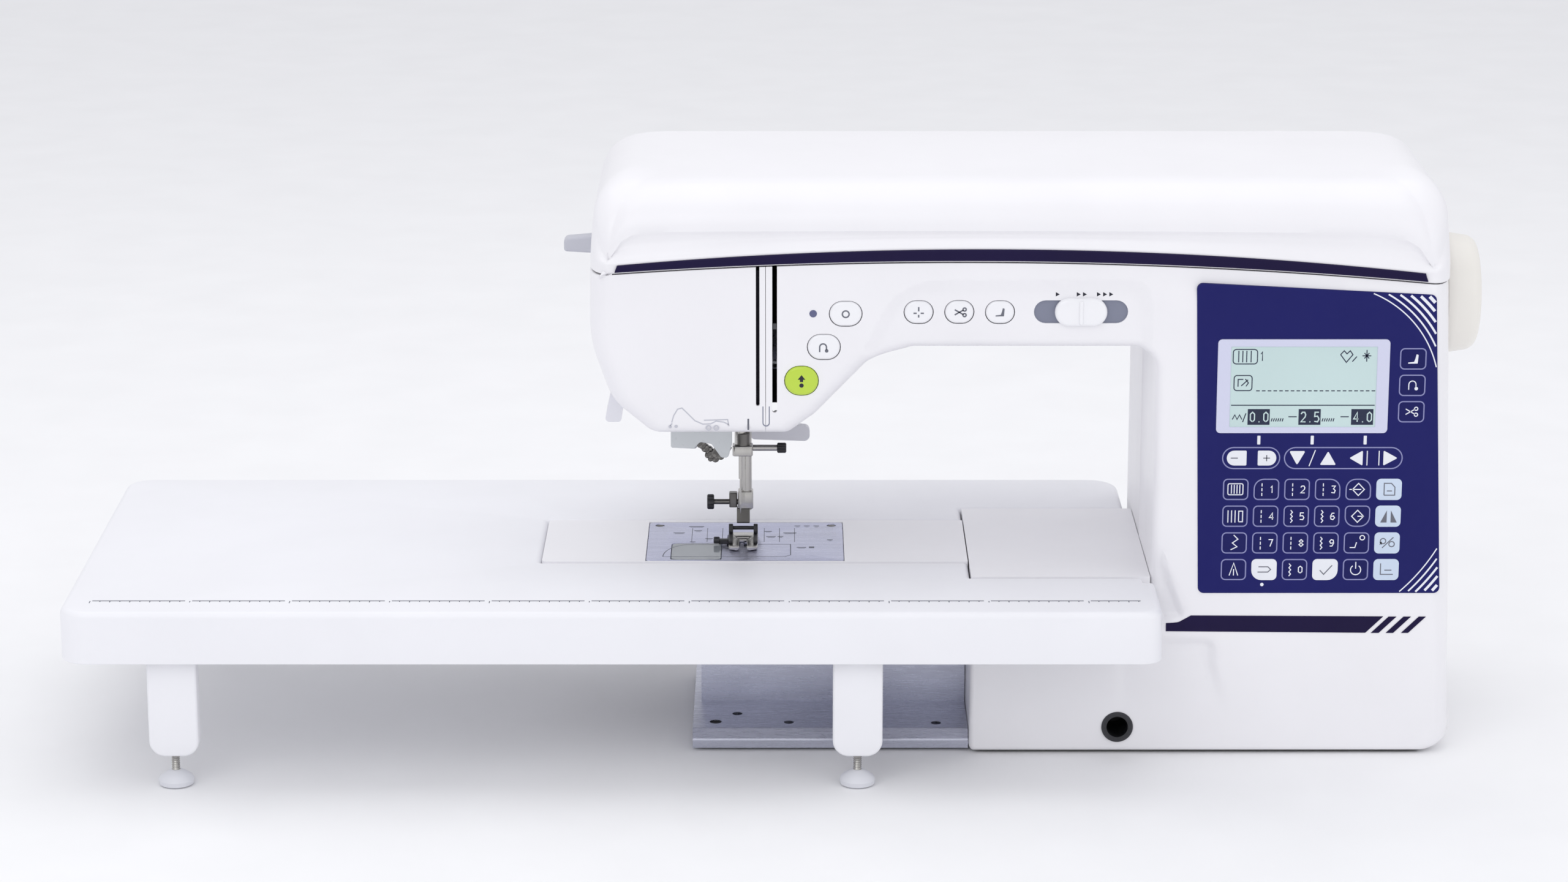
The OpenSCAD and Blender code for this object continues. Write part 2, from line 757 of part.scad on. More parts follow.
module needle_threader() {
    color(shade) at_needle() {
        translate([0, threader_y, 0]) slab_x([[-5, 240.5, 2], [5, 240.5, 2], [5, 250, 2], [-5, 250, 2]],
            -93.9, -80);
        span([-81, threader_y - 2.4, 241.5], [-62, threader_y + 2.4, 249]);
        span([-64, -2.4, 236], [-60, threader_y + 2.4, 249]);
        span([-62, -2.4, 236], [-24, 2.4, 240]);
        span([-28, -2.4, 146], [-24, 2.4, 240]);
        span([-28, -14, 138.4], [-9, -6, 150.6]);
        span([-28, -8, 146], [-24, 2.4, 150.6]);
    }
}

module thread_cutter() {
    color(shade) at_needle() {
        slab_y([[-70.5, 168, 2], [-62, 168, 2], [-60, 184, 2], [-67, 184, 2]], -36, -14);
    }
}

module spool_pin() {
    color(shade) at_needle() {
        span([44, spool_at[0] - 8, lid_z], [54, spool_at[0] + 8, lid_z + spool_at[1] + 8]);
        rod_x([52, spool_at[0], lid_z + spool_at[1]], 3, 76);
        rod_x([112, spool_at[0], lid_z + spool_at[1]], 11, 4);
    }
}

module bobbin_winder() {
    color(shade) at_needle() {
        rod_z([winder_at[0], winder_at[1], lid_z + 0.2], 14, 4);
        rod_z([winder_at[0], winder_at[1], lid_z + 3.5], 3, 20);
    }
}

// ---- controls ------------------------------------------------------------------------------

module button(i, tint) {
    color(tint) at_needle() {
        pill_y([buttons[i][0], buttons[i][1]], buttons[i][2], buttons[i][3], front_y - 1.8, front_y + 8);
        pill_y([buttons[i][0], buttons[i][1]], buttons[i][2] + 1.2, buttons[i][3] + 1.2,
            front_y + wall + gap, front_y + wall + 2);
    }
}

module tie_off_button() { button(0, white); }
module reverse_button() { button(1, white); }
module start_stop_button() { button(2, lime); }
module needle_position_button() { button(3, white); }
module cutter_button() { button(4, white); }
module presser_button() { button(5, white); }

module speed_slider() {
    color(white) at_needle() {
        pill_y([slider_x, slider_z], 13.2, 7.2, front_y - 5, front_y - gap);
        span([slider_x - 1.5, front_y - 1, slider_z - 1.4], [slider_x + 1.5, front_y + 8, slider_z + 1.4]);
        span([slider_x - 5, front_y + wall + gap, slider_z - 5], [slider_x + 5, front_y + 8, slider_z + 5]);
    }
}

module control_panel() {
    color(blue) at_needle() difference() {
        slab_y([[232, panel[2], 3], [panel[1], panel[2], 3], [347.6, 243, 3], [panel[0], panel[3], 3]],
            front_y - 2.6, front_y - 0.2);
        span([lcd[0] - gap, front_y - 9, lcd[2] - gap], [lcd[1] + gap, front_y + 9, lcd[3] + gap]);
    }
}

module lcd_screen() {
    color(glass) at_needle() span([lcd[0], front_y - 2.8, lcd[2]], [lcd[1], front_y + 4.5, lcd[3]]);
}

module circuit_board() {
    color([0.1, 0.35, 0.2]) at_needle() {
        span([225, front_y + 6, 92], [346, front_y + 7.6, 246]);
        for (x = [235 : 30 : 325])
            span([x, front_y + 7.6, 110], [x + 18, front_y + 10, 128]);
        for (x = [240, 320])
            rod_y([x, front_y + 7.6, 230], 5, 10);
    }
}

// Height of a shallow arc from xa to xb that rises by h at its middle.
function arc_z(x, xa, xb, z, h) = z + h * (1 - pow((2 * x - xa - xb) / (xb - xa), 2));

// The band along the lid's front edge.
module accent_strip() {
    color(purple) at_needle() translate([0, front_y - 0.15, 0]) rotate([90, 0, 0]) linear_extrude(1.2)
        polygon(concat(
            [for (x = [strip[0] : strip_step : strip[1]]) [x, arc_z(x, strip[0], strip[1], strip[3], 10)]],
            [for (x = [strip[1] : -strip_step : strip[0]]) [x, arc_z(x, strip[0], strip[1], strip[2], 8.4)]]));
}

module knee_lifter_socket() {
    color(dark) at_needle() translate([knee_at[0], front_y - 1, knee_at[1]]) rotate([-90, 0, 0])
        difference() {
            union() {
                cylinder(r = knee_r + 1.8, h = 30);
                cylinder(r = knee_r + 2.6, h = 0.8);
            }
            translate([0, 0, -1]) cylinder(r = knee_r, h = 27);
        }
}

module power_switch() {
    color(dark) at_needle() intersection() {
        rod_y([switch_x, switch_at[0] - switch_w / 2, switch_at[1]], switch_r, switch_w);
        translate([switch_x, 0, switch_at[1]]) rotate([90, 0, 0]) translate([0, 0, -far / 2])
            linear_extrude(far) polygon([[0, 0], [20, -12], [20, 12]]);
    }
}

module power_inlet() {
    color(dark) at_needle() difference() {
        span([inlet[0], inlet[2], inlet[4]], [inlet[1], inlet[3], inlet[5]]);
        span([350, inlet[2] + 2.7, inlet[4] + 2.7], [370, inlet[3] - 2.7, inlet[5] - 2.7]);
    }
}

extension_table();
table_leg_front_left();
table_leg_front_right();
table_leg_rear_left();
table_leg_rear_right();
table_foot_front_left();
table_foot_front_right();
table_foot_rear_left();
table_foot_rear_right();
front_housing();
rear_housing();
face_cover();
top_lid();
carry_handle();
base_plate();
rubber_feet();
bed_cover();
free_arm_cover();
chassis();
housing_screws();
needle_plate();
bobbin_cover();
bobbin();
bobbin_case();
rotary_hook();
feed_dogs();
lower_shaft();
main_shaft();
handwheel();
motor();
motor_pulley();
drive_belts();
needle_bar();
needle_clamp();
needle_clamp_screw();
needle();
presser_bar();
foot_holder();
foot_holder_screw();
presser_foot();
presser_lever();
take_up_lever();
needle_threader();
thread_cutter();
spool_pin();
bobbin_winder();
tie_off_button();
reverse_button();
start_stop_button();
needle_position_button();
cutter_button();
presser_button();
speed_slider();
control_panel();
lcd_screen();
circuit_board();
accent_strip();
knee_lifter_socket();
power_switch();
power_inlet();
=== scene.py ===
# The looks of a household sewing machine with an extension table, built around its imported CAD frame.
# Lengths are millimetres in a design frame: X and Y from the needle plate's centre, Z up from the
# surface the machine stands on. place() turns a design point into the row frame's metres.

import json
import math

import bmesh
import bpy
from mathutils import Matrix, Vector
from mathutils.geometry import delaunay_2d_cdt


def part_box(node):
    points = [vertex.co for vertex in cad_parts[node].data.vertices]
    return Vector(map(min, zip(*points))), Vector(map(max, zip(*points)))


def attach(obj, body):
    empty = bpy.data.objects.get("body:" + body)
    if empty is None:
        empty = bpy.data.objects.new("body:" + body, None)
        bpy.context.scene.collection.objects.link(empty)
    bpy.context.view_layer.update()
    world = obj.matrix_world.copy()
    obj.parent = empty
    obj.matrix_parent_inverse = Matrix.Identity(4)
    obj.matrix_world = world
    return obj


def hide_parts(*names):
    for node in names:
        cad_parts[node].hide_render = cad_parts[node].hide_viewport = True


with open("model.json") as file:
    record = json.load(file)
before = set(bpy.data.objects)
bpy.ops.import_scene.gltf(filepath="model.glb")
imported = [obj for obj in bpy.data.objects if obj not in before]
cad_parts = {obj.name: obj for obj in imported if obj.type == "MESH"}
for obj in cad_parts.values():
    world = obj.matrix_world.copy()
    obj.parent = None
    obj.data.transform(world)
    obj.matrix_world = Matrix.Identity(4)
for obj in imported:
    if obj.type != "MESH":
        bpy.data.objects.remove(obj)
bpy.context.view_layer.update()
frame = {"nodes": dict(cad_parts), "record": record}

MM = 0.001
NEEDLE_SHIFT = 1.3
needle_low, needle_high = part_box("needle")
origin = (needle_low + needle_high) / 2 + Vector((NEEDLE_SHIFT * MM, 0, 0))
origin.z = 0


def place(point):
    return origin + Vector(point) * MM


def span_of(node):
    """Lowest and highest corner of a CAD node, in design millimetres."""
    low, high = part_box(node)
    return (low - origin) / MM, (high - origin) / MM


def centre_of(node):
    low, high = span_of(node)
    return (low + high) / 2


# ---- camera, light and floor ----------------------------------------------------------------

CAMERA_AT = (21.4, -2156.0, 726.0)
CAMERA_AIM = (21.4, 0.0, 148.25)
CAMERA_LENS = 98.25


def look(obj, at, aim):
    obj.location = place(at)
    obj.rotation_mode = "QUATERNION"
    obj.rotation_quaternion = (place(aim) - place(at)).to_track_quat("-Z", "Y")
    bpy.context.scene.collection.objects.link(obj)


def area_light(name, at, aim, power, width, height):
    light = bpy.data.lights.new(name, "AREA")
    light.shape = "RECTANGLE"
    light.energy = power
    light.size = width
    light.size_y = height
    look(bpy.data.objects.new(name, light), at, aim)


def make_stage():
    camera = bpy.data.cameras.new("camera")
    camera.lens = CAMERA_LENS
    camera.sensor_width = 36
    camera.clip_end = 20
    eye = bpy.data.objects.new("camera", camera)
    look(eye, CAMERA_AT, CAMERA_AIM)
    bpy.context.scene.camera = eye
    area_light("key", (-700, -1500, 1500), (40, 0, 150), 6.0, 1.6, 1.2)
    area_light("fill", (1500, -1300, 900), (100, 0, 150), 3, 1.4, 1.4)
    area_light("top", (0, 300, 1700), (0, 0, 100), 6.5, 2.2, 1.4)
    world = bpy.data.worlds.new("studio")
    world.use_nodes = True
    back = world.node_tree.nodes["Background"]
    back.inputs["Color"].default_value = (0.96, 0.965, 1.0, 1)
    back.inputs["Strength"].default_value = 0.8
    bpy.context.scene.world = world
    bpy.context.scene.view_settings.view_transform = "Standard"
    points = [(-6000, -3200, -0.05), (6000, -3200, -0.05), (6000, 6000, -0.05), (-6000, 6000, -0.05)]
    mesh = bpy.data.meshes.new("floor")
    mesh.from_pydata([place(p) for p in points], [], [(0, 1, 2, 3)])
    floor = bpy.data.objects.new("floor", mesh)
    bpy.context.scene.collection.objects.link(floor)
    floor.data.materials.append(plastic("floor_paper", (250, 250, 251), 0.75, bump=0.02, grain=1.2))


# ---- materials ------------------------------------------------------------------------------


def linear(rgb):
    """Linear colour of an 8-bit display colour."""
    out = []
    for c in rgb:
        c /= 255
        out.append(c / 12.92 if c <= 0.04045 else ((c + 0.055) / 1.055) ** 2.4)
    return out


def noise_node(nodes, links, coords, scale, detail=3.0, stretch=None):
    texture = nodes.new("ShaderNodeTexNoise")
    texture.inputs["Scale"].default_value = scale
    texture.inputs["Detail"].default_value = detail
    source = coords
    if stretch:
        mapping = nodes.new("ShaderNodeMapping")
        mapping.inputs["Scale"].default_value = stretch
        links.new(coords, mapping.inputs["Vector"])
        source = mapping.outputs["Vector"]
    links.new(source, texture.inputs["Vector"])
    return texture.outputs["Fac"]


def ranged(nodes, links, value, low, high):
    """Maps a noise value, which stays near a half, to a range."""
    node = nodes.new("ShaderNodeMapRange")
    node.inputs["From Min"].default_value = 0.3
    node.inputs["From Max"].default_value = 0.7
    node.inputs["To Min"].default_value = low
    node.inputs["To Max"].default_value = high
    links.new(value, node.inputs["Value"])
    return node.outputs["Result"]


def finish_material(name, colour, rough, tone, rough_spread, bump, grain, stretch, metallic, coat, worn):
    """A surface with a slow change of tone, uneven gloss, and a fine grain in its bump."""
    made = bpy.data.materials.new(name)
    made.use_nodes = True
    nodes, links = made.node_tree.nodes, made.node_tree.links
    shader = nodes["Principled BSDF"]
    coords = nodes.new("ShaderNodeTexCoord").outputs["Object"]
    shade = linear(colour)
    mix = nodes.new("ShaderNodeMix")
    mix.data_type = "RGBA"
    mix.inputs[6].default_value = [c * (1 - tone) for c in shade] + [1]
    mix.inputs[7].default_value = [min(1, c * (1 + tone)) for c in shade] + [1]
    slow = noise_node(nodes, links, coords, 18, 2.0, stretch)
    links.new(ranged(nodes, links, slow, 0, 1), mix.inputs[0])
    result = mix.outputs[2]
    if worn:
        geometry = nodes.new("ShaderNodeNewGeometry")
        edge = nodes.new("ShaderNodeMapRange")
        edge.inputs["From Min"].default_value = 0.52
        edge.inputs["From Max"].default_value = 0.62
        edge.inputs["To Max"].default_value = 0.55
        links.new(geometry.outputs["Pointiness"], edge.inputs["Value"])
        lift = nodes.new("ShaderNodeMix")
        lift.data_type = "RGBA"
        lift.inputs[7].default_value = linear(worn) + [1]
        links.new(edge.outputs["Result"], lift.inputs[0])
        links.new(result, lift.inputs[6])
        result = lift.outputs[2]
    links.new(result, shader.inputs["Base Color"])
    middle = noise_node(nodes, links, coords, 140, 3.0, stretch)
    links.new(ranged(nodes, links, middle, rough - rough_spread, rough + rough_spread),
              shader.inputs["Roughness"])
    fine = noise_node(nodes, links, coords, 1000 / grain, 2.0, stretch)
    relief = nodes.new("ShaderNodeBump")
    relief.inputs["Strength"].default_value = bump
    relief.inputs["Distance"].default_value = 0.0003
    links.new(fine, relief.inputs["Height"])
    links.new(relief.outputs["Normal"], shader.inputs["Normal"])
    shader.inputs["Metallic"].default_value = metallic
    if coat:
        shader.inputs["Coat Weight"].default_value = coat
        shader.inputs["Coat Roughness"].default_value = 0.08
    return made


def plastic(name, colour, rough=0.36, tone=0.012, rough_spread=0.05, bump=0.06, grain=0.5, coat=0.0,
            worn=None):
    return finish_material(name, colour, rough, tone, rough_spread, bump, grain, None, 0.0, coat, worn)


def metal(name, colour, rough=0.25, tone=0.05, rough_spread=0.08, bump=0.1, grain=0.25, stretch=None,
          worn=None):
    return finish_material(name, colour, rough, tone, rough_spread, bump, grain, stretch, 1.0, 0.0, worn)


def clear(name, colour, rough, transmission):
    made = plastic(name, colour, rough, bump=0.02)
    shader = made.node_tree.nodes["Principled BSDF"]
    shader.inputs["Transmission Weight"].default_value = transmission
    shader.inputs["IOR"].default_value = 1.46
    return made


def dull(made, level):
    """Weakens a material's reflections."""
    made.node_tree.nodes["Principled BSDF"].inputs["Specular IOR Level"].default_value = level


BRUSHED_X = (1, 14, 14)
BRUSHED_Z = (14, 14, 1)

WHITE = plastic("moulded_white", (243, 242, 245), 0.34, coat=0.12)
PALE_TRIM = plastic("pale_trim", (228, 228, 234), 0.4, tone=0.03)
TABLE_WHITE = plastic("table_white", (243, 243, 247), 0.4, bump=0.08, grain=0.7)
WARM_WHITE = plastic("handwheel_white", (240, 237, 230), 0.38)
GLOSS_WHITE = plastic("glossy_white", (245, 245, 248), 0.16, coat=0.5, bump=0.02)
FOOT_GREY = plastic("foot_grey", (225, 226, 232), 0.42)
TRIM_GREY = plastic("trim_grey", (196, 197, 206), 0.4)
TRACK_GREY = plastic("track_grey", (128, 132, 150), 0.45)
PURPLE = plastic("trim_purple", (20, 8, 56), 0.5, tone=0.08, bump=0.03)
PANEL_BLUE = plastic("panel_blue", (24, 26, 98), 0.55, tone=0.04, bump=0.02, grain=0.3)
KEY_LINE = plastic("key_print", (138, 140, 186), 0.5)
KEY_WHITE = plastic("key_white", (236, 238, 244), 0.42)
KEY_PALE = plastic("key_pale_blue", (206, 220, 238), 0.42)
KEY_BLUE = plastic("key_cap_blue", (22, 24, 90), 0.5, tone=0.04)
PRINT_WHITE = plastic("print_white", (238, 240, 248), 0.5)
INK = plastic("print_grey", (112, 114, 124), 0.6)
DARK_INK = plastic("print_dark", (52, 52, 62), 0.6)
BEZEL = plastic("display_bezel", (212, 214, 236), 0.35, coat=0.2)
DISPLAY = plastic("display_glass", (198, 220, 219), 0.12, tone=0.03, coat=0.6, bump=0.01)
PIXELS = plastic("display_ink", (46, 52, 74), 0.3)
GREEN = plastic("start_green", (190, 218, 62), 0.3, tone=0.04, coat=0.4)
BLACK = plastic("black_plastic", (26, 26, 30), 0.4, tone=0.2, bump=0.2, worn=(58, 58, 64))
RUBBER = plastic("rubber", (30, 30, 32), 0.75, tone=0.15, bump=0.5, grain=0.4)
# Painted shade: a dark colour for the sheets that stand in for the shadow inside the thread slots.
SLOT_SHADE = plastic("painted_slot_shade", (34, 30, 44), 0.6, tone=0.1)
BASE_METAL = metal("base_silver", (198, 200, 214), 0.3, stretch=BRUSHED_X)
CAST = metal("cast_alloy", (150, 152, 158), 0.5, bump=0.4, grain=0.6, worn=(190, 192, 196))
STEEL = metal("turned_steel", (182, 184, 190), 0.28)
CHROME = metal("chrome", (186, 184, 180), 0.16, rough_spread=0.06, stretch=BRUSHED_Z)
PLATE_STEEL = metal("plate_steel", (196, 198, 220), 0.3, bump=0.12, stretch=BRUSHED_X)
DARK_STEEL = metal("dark_steel", (92, 90, 88), 0.35, worn=(150, 148, 144))
MOTOR_BLACK = metal("motor_black", (46, 46, 50), 0.5, bump=0.3, worn=(90, 90, 94))
BOARD = plastic("board_green", (34, 92, 58), 0.45, tone=0.12, bump=0.3, grain=1.5)
CLEAR = clear("clear_window", (226, 232, 238), 0.08, 0.7)
CLEAR_GREY = plastic("mouth_guard", (206, 210, 212), 0.3, coat=0.2)
LED = plastic("led_lens", (88, 92, 130), 0.2, coat=0.5)

# Prints, films and the painted slot shade get weak reflections.
for film_or_painted_shade in (PURPLE, PANEL_BLUE, KEY_BLUE, PIXELS, INK, DARK_INK, SLOT_SHADE):
    dull(film_or_painted_shade, 0.2)

SLOT_MATERIALS = {
    "housing_white": WHITE, "table_white": TABLE_WHITE, "foot_grey": FOOT_GREY, "trim_grey": TRIM_GREY,
    "wheel_white": WARM_WHITE, "base_grey": BASE_METAL, "rubber_black": RUBBER, "cast_alloy": CAST,
    "screw_steel": STEEL, "motor_black": MOTOR_BLACK, "bright_steel": CHROME, "plate_steel": PLATE_STEEL,
    "black_knob": BLACK, "clear_plastic": CLEAR, "button_white": GLOSS_WHITE, "button_green": GREEN,
    "panel_blue": PANEL_BLUE, "display": DISPLAY, "board_green": BOARD, "accent_purple": PURPLE,
}
PALE_NODES = {"thread_cutter": PALE_TRIM, "presser_lever": PALE_TRIM}


def dress_cad_nodes():
    """Every CAD node gets the material of its slot, or its own where it has one."""
    for part in frame["record"]["subparts"]:
        mesh = frame["nodes"][part["node"]].data
        mesh.materials.clear()
        mesh.materials.append(PALE_NODES.get(part["node"]) or SLOT_MATERIALS[part["material_slot"]])


make_stage()
dress_cad_nodes()

# ---- outlines -------------------------------------------------------------------------------


def corner(outline, i):
    """Directions of the edges before and after corner i, and the sine of the turn."""
    here = Vector(outline[i][:2])
    before = (here - Vector(outline[i - 1][:2])).normalized()
    after = (Vector(outline[(i + 1) % len(outline)][:2]) - here).normalized()
    return here, before, after, before.x * after.y - before.y * after.x


def rounded(outline, steps=6, like=None):
    """Points of an outline [(x, y, corner radius), ...] with its corners rounded.
    Where like has a radius, the corner gets as many points as like's own."""
    points = []
    for i, (_, _, radius) in enumerate(outline):
        here, before, after, turn = corner(outline, i)
        wanted = (like or outline)[i][2] > 0
        bend = math.acos(max(-1.0, min(1.0, before.dot(after))))
        if not wanted:
            points.append(here)
            continue
        sign = 1 if turn > 0 else -1
        inward = Vector((-before.y, before.x)) * sign
        centre = here - before * radius * math.tan(bend / 2) + inward * radius
        arm = -inward * radius
        for k in range(steps + 1):
            t = sign * bend * k / steps
            points.append(centre + Vector((arm.x * math.cos(t) - arm.y * math.sin(t),
                                           arm.x * math.sin(t) + arm.y * math.cos(t))))
    return points


def inset(outline, amounts):
    """An anticlockwise outline moved inwards, edge i (from point i to the next) by amounts[i]."""
    if not isinstance(amounts, (list, tuple)):
        amounts = [amounts] * len(outline)
    moved = []
    for i, (_, _, radius) in enumerate(outline):
        here, before, after, turn = corner(outline, i)
        first, second = amounts[i - 1], amounts[i]
        if abs(turn) < 1e-3:
            here = here + Vector((-before.y, before.x)) * (first + second) / 2
        else:
            here = here + (after * first - before * second) / turn
        mean = (first + second) / 2
        moved.append((here.x, here.y, max(radius - mean, 0.0) if turn > 0 else radius + mean))
    return moved


def box_outline(x0, y0, x1, y1, radius=0.0):
    return [(x0, y0, radius), (x1, y0, radius), (x1, y1, radius), (x0, y1, radius)]


def pill_outline(x, y, half_w, half_h):
    return box_outline(x - half_w, y - half_h, x + half_w, y + half_h, min(half_w, half_h) * 0.999)


def inside(point, loop):
    """True if a point is inside a closed loop of points."""
    hit = False
    for i, b in enumerate(loop):
        a = loop[i - 1]
        if (a[1] > point[1]) != (b[1] > point[1]):
            if point[0] < (b[0] - a[0]) * (point[1] - a[1]) / (b[1] - a[1]) + a[0]:
                hit = not hit
    return hit


def triangles(loops, extra=()):
    """Fills the first loop, less the others, with triangles that also use the extra points."""
    points, edges = [], []
    for loop in loops:
        start = len(points)
        points += [Vector((p[0], p[1])) for p in loop]
        edges += [(start + i, start + (i + 1) % len(loop)) for i in range(len(loop))]
    points += [Vector((p[0], p[1])) for p in extra]
    verts, _, faces, *_ = delaunay_2d_cdt(points, edges, [], 0, 1e-4)
    kept = []
    for face in faces:
        middle = sum((verts[i] for i in face), Vector((0, 0))) / len(face)
        if inside(middle, loops[0]) and not any(inside(middle, hole) for hole in loops[1:]):
            kept.append(face)
    return verts, kept


# ---- meshes ---------------------------------------------------------------------------------


class Shape:
    """A soup of faces in design millimetres, welded when a piece is made of it."""

    def __init__(self):
        self.points = []
        self.faces = []

    def add(self, points, faces):
        start = len(self.points)
        self.points += [tuple(p) for p in points]
        self.faces += [tuple(start + i for i in face) for face in faces]
        return self

    def rings(self, rings, closed=True):
        """Quads between successive rings that have the same number of points."""
        count = len(rings[0])
        last = count if closed else count - 1
        faces = [(r * count + i, r * count + (i + 1) % count, (r + 1) * count + (i + 1) % count,
                  (r + 1) * count + i)
                 for r in range(len(rings) - 1) for i in range(last)]
        return self.add([p for ring in rings for p in ring], faces)

    def cap(self, loops, lift, extra=()):
        """A flat or curved lid: lift turns a plane point into a design point."""
        verts, faces = triangles(loops, extra)
        return self.add([lift(v) for v in verts], faces)

    def merge(self, other):
        return self.add(other.points, other.faces)


AXES = {
    "x": lambda p, d: (d, p[0], p[1]),
    "y": lambda p, d: (p[0], d, p[1]),
    "z": lambda p, d: (p[0], p[1], d),
}


def prism(outline, low, high, axis="y", soft=0.0, soft_high=None, holes=(), steps=3, arc=6):
    """A solid with an outline in the plane across an axis, from low to high along it.
    soft and soft_high round the edges at the low and the high end."""
    soft_high = soft if soft_high is None else soft_high
    to = AXES[axis]
    shape = Shape()
    for k, loop in enumerate([outline, *holes]):
        full = rounded(loop, arc)
        sign = 1 if k == 0 else -1
        rings = []
        for end, amount, direction in ((low, soft, 1), (high, soft_high, -1)):
            shrunken = rounded(inset(loop, sign * amount), arc, loop) if amount else full
            levels = range(steps + 1) if amount else [steps]
            part = []
            for level in levels:
                angle = math.pi / 2 * level / steps
                part.append([to(f + (s - f) * (1 - math.sin(angle)),
                                end + direction * amount * (1 - math.cos(angle)))
                             for f, s in zip(full, shrunken)])
            rings.append(part)
        shape.rings(rings[0] + rings[1][::-1])
    for end, amount in ((low, soft), (high, soft_high)):
        loops = [rounded(inset(loop, (1 if k == 0 else -1) * amount), arc, loop) if amount
                 else rounded(loop, arc)
                 for k, loop in enumerate([outline, *holes])]
        shape.cap(loops, lambda p, d=end: to(p, d))
    return shape


def lathe(profile, at, axis="x", count=64, ribs=0, rib_depth=0.0, rib_span=None):
    """A profile [(along, radius), ...] turned about an axis through a point. Ribs groove the rim."""
    shape = Shape()
    rings = []
    for along, radius in profile:
        ring = []
        for k in range(count):
            angle = 2 * math.pi * k / count
            r = radius
            if ribs and rib_span[0] <= along <= rib_span[1]:
                r -= rib_depth * (0.5 + 0.5 * math.cos(ribs * angle))
            ring.append((r * math.cos(angle), r * math.sin(angle)))
        rings.append([Vector(AXES[axis](p, along)) + Vector(at) for p in ring])
    shape.rings(rings)
    for ring in (rings[0], rings[-1]):
        if (ring[0] - ring[1]).length > 1e-6:
            shape.add(ring, [tuple(range(len(ring)))])
    return shape


def cylinder(x, y, z, radius, length, axis="z", soft=0.3, count=28, ribs=0):
    """A rod with softened ends that starts at a point and runs along an axis. Ribs groove its side."""
    start = {"x": x, "y": y, "z": z}[axis]
    at = {"x": (0, y, z), "y": (x, 0, z), "z": (x, y, 0)}[axis]
    profile = [(0, 0.01), (0, radius - soft), (soft, radius), (length - soft, radius),
               (length, radius - soft), (length, 0.01)]
    return lathe([(start + along, r) for along, r in profile], at, axis, count, ribs, 0.35,
                 (start + 0.4, start + length - 0.4))


def ribbon(path, width, low, high, axis="y", closed=False):
    """A thin line of a width along a path in the plane across an axis."""
    points = [Vector((p[0], p[1])) for p in path]
    count = len(points)
    shape = Shape()
    left, right = [], []
    for i, p in enumerate(points):
        a = points[i - 1] if i > 0 or closed else None
        b = points[(i + 1) % count] if i < count - 1 or closed else None
        if a is None:
            a = p - (b - p)
        if b is None:
            b = p + (p - a)
        d1, d2 = (p - a).normalized(), (b - p).normalized()
        bend = max(0.35, (1 + d1.dot(d2)) / 2)
        normal = Vector((-(d1 + d2).y, (d1 + d2).x)).normalized() * width / 2 / math.sqrt(bend)
        left.append(p + normal)
        right.append(p - normal)
    to = AXES[axis]
    loops = [[to(p, low) for p in left], [to(p, high) for p in left], [to(p, high) for p in right],
             [to(p, low) for p in right], [to(p, low) for p in left]]
    shape.rings(loops, closed)
    if not closed:
        shape.add([loop[0] for loop in loops[:4]], [(0, 1, 2, 3)])
        shape.add([loop[-1] for loop in loops[:4]], [(3, 2, 1, 0)])
    return shape


def together(shapes):
    total = Shape()
    for shape in shapes:
        total.merge(shape)
    return total


def piece(name, shape, material, body, replaces=(), shell=0.0, facing=None, cuts=(), sharp=32,
          bevel=0.0):
    """A Blender object from a shape, riding on a CAD body.
    shell gives an open surface its thickness, and cuts are shapes taken away from it."""
    mesh = bpy.data.meshes.new(name)
    mesh.from_pydata([place(p) for p in shape.points], [], shape.faces)
    made = bmesh.new()
    made.from_mesh(mesh)
    bmesh.ops.remove_doubles(made, verts=made.verts, dist=2e-6)
    bmesh.ops.dissolve_degenerate(made, edges=made.edges, dist=1e-7)
    bmesh.ops.recalc_face_normals(made, faces=made.faces)
    made.normal_update()
    if facing:
        way = Vector(facing)
        if sum(f.normal.dot(way) * f.calc_area() for f in made.faces) < 0:
            bmesh.ops.reverse_faces(made, faces=made.faces)
    made.to_mesh(mesh)
    made.free()
    obj = bpy.data.objects.new(name, mesh)
    bpy.context.scene.collection.objects.link(obj)
    if shell:
        wall = obj.modifiers.new("wall", "SOLIDIFY")
        wall.thickness = shell * MM
        wall.offset = -1
        wall.use_even_offset = False
    cutter = None
    if cuts:
        cutter = piece(name + "_cutter", together(cuts), material, None)
        taken = obj.modifiers.new("cuts", "BOOLEAN")
        taken.operation = "DIFFERENCE"
        taken.solver = "EXACT"
        taken.use_self = True
        taken.object = cutter
    if bevel:
        edge = obj.modifiers.new("edge", "BEVEL")
        edge.width = bevel * MM
        edge.segments = 2
        edge.limit_method = "ANGLE"
        edge.angle_limit = math.radians(40)
    if obj.modifiers:
        bpy.context.view_layer.update()
        done = bpy.data.meshes.new_from_object(obj.evaluated_get(bpy.context.evaluated_depsgraph_get()))
        obj.modifiers.clear()
        obj.data = done
        done.name = name
    if cutter:
        bpy.data.objects.remove(cutter)
    obj.data.materials.clear()
    obj.data.materials.append(material)
    obj.data.shade_smooth()
    obj.data.set_sharp_from_angle(angle=math.radians(sharp))
    if body:
        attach(obj, body)
        if replaces:
            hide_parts(*replaces)
    return obj


# ---- housings -------------------------------------------------------------------------------

FRONT_Y = -70.0
REAR_Y = span_of("rear_housing")[1].y
SEAM_Y = span_of("rear_housing")[0].y
FOOT_RIGHT = span_of("front_housing")[1].x + 0.6
SIDE_LEFT, SIDE_RIGHT = -76.2, FOOT_RIGHT - 9
HEAD_Z = 170.2
THROAT_Z = 214.5
COLUMN_X = 208.5
BASE_LEFT = 116.6
BASE_TOP = 66.3
BASE_Z = 1.5
COVER_X = span_of("face_cover")[1].x
WALL = 2.4


def smooth(t):
    t = max(0.0, min(1.0, t))
    return t * t * (3 - 2 * t)


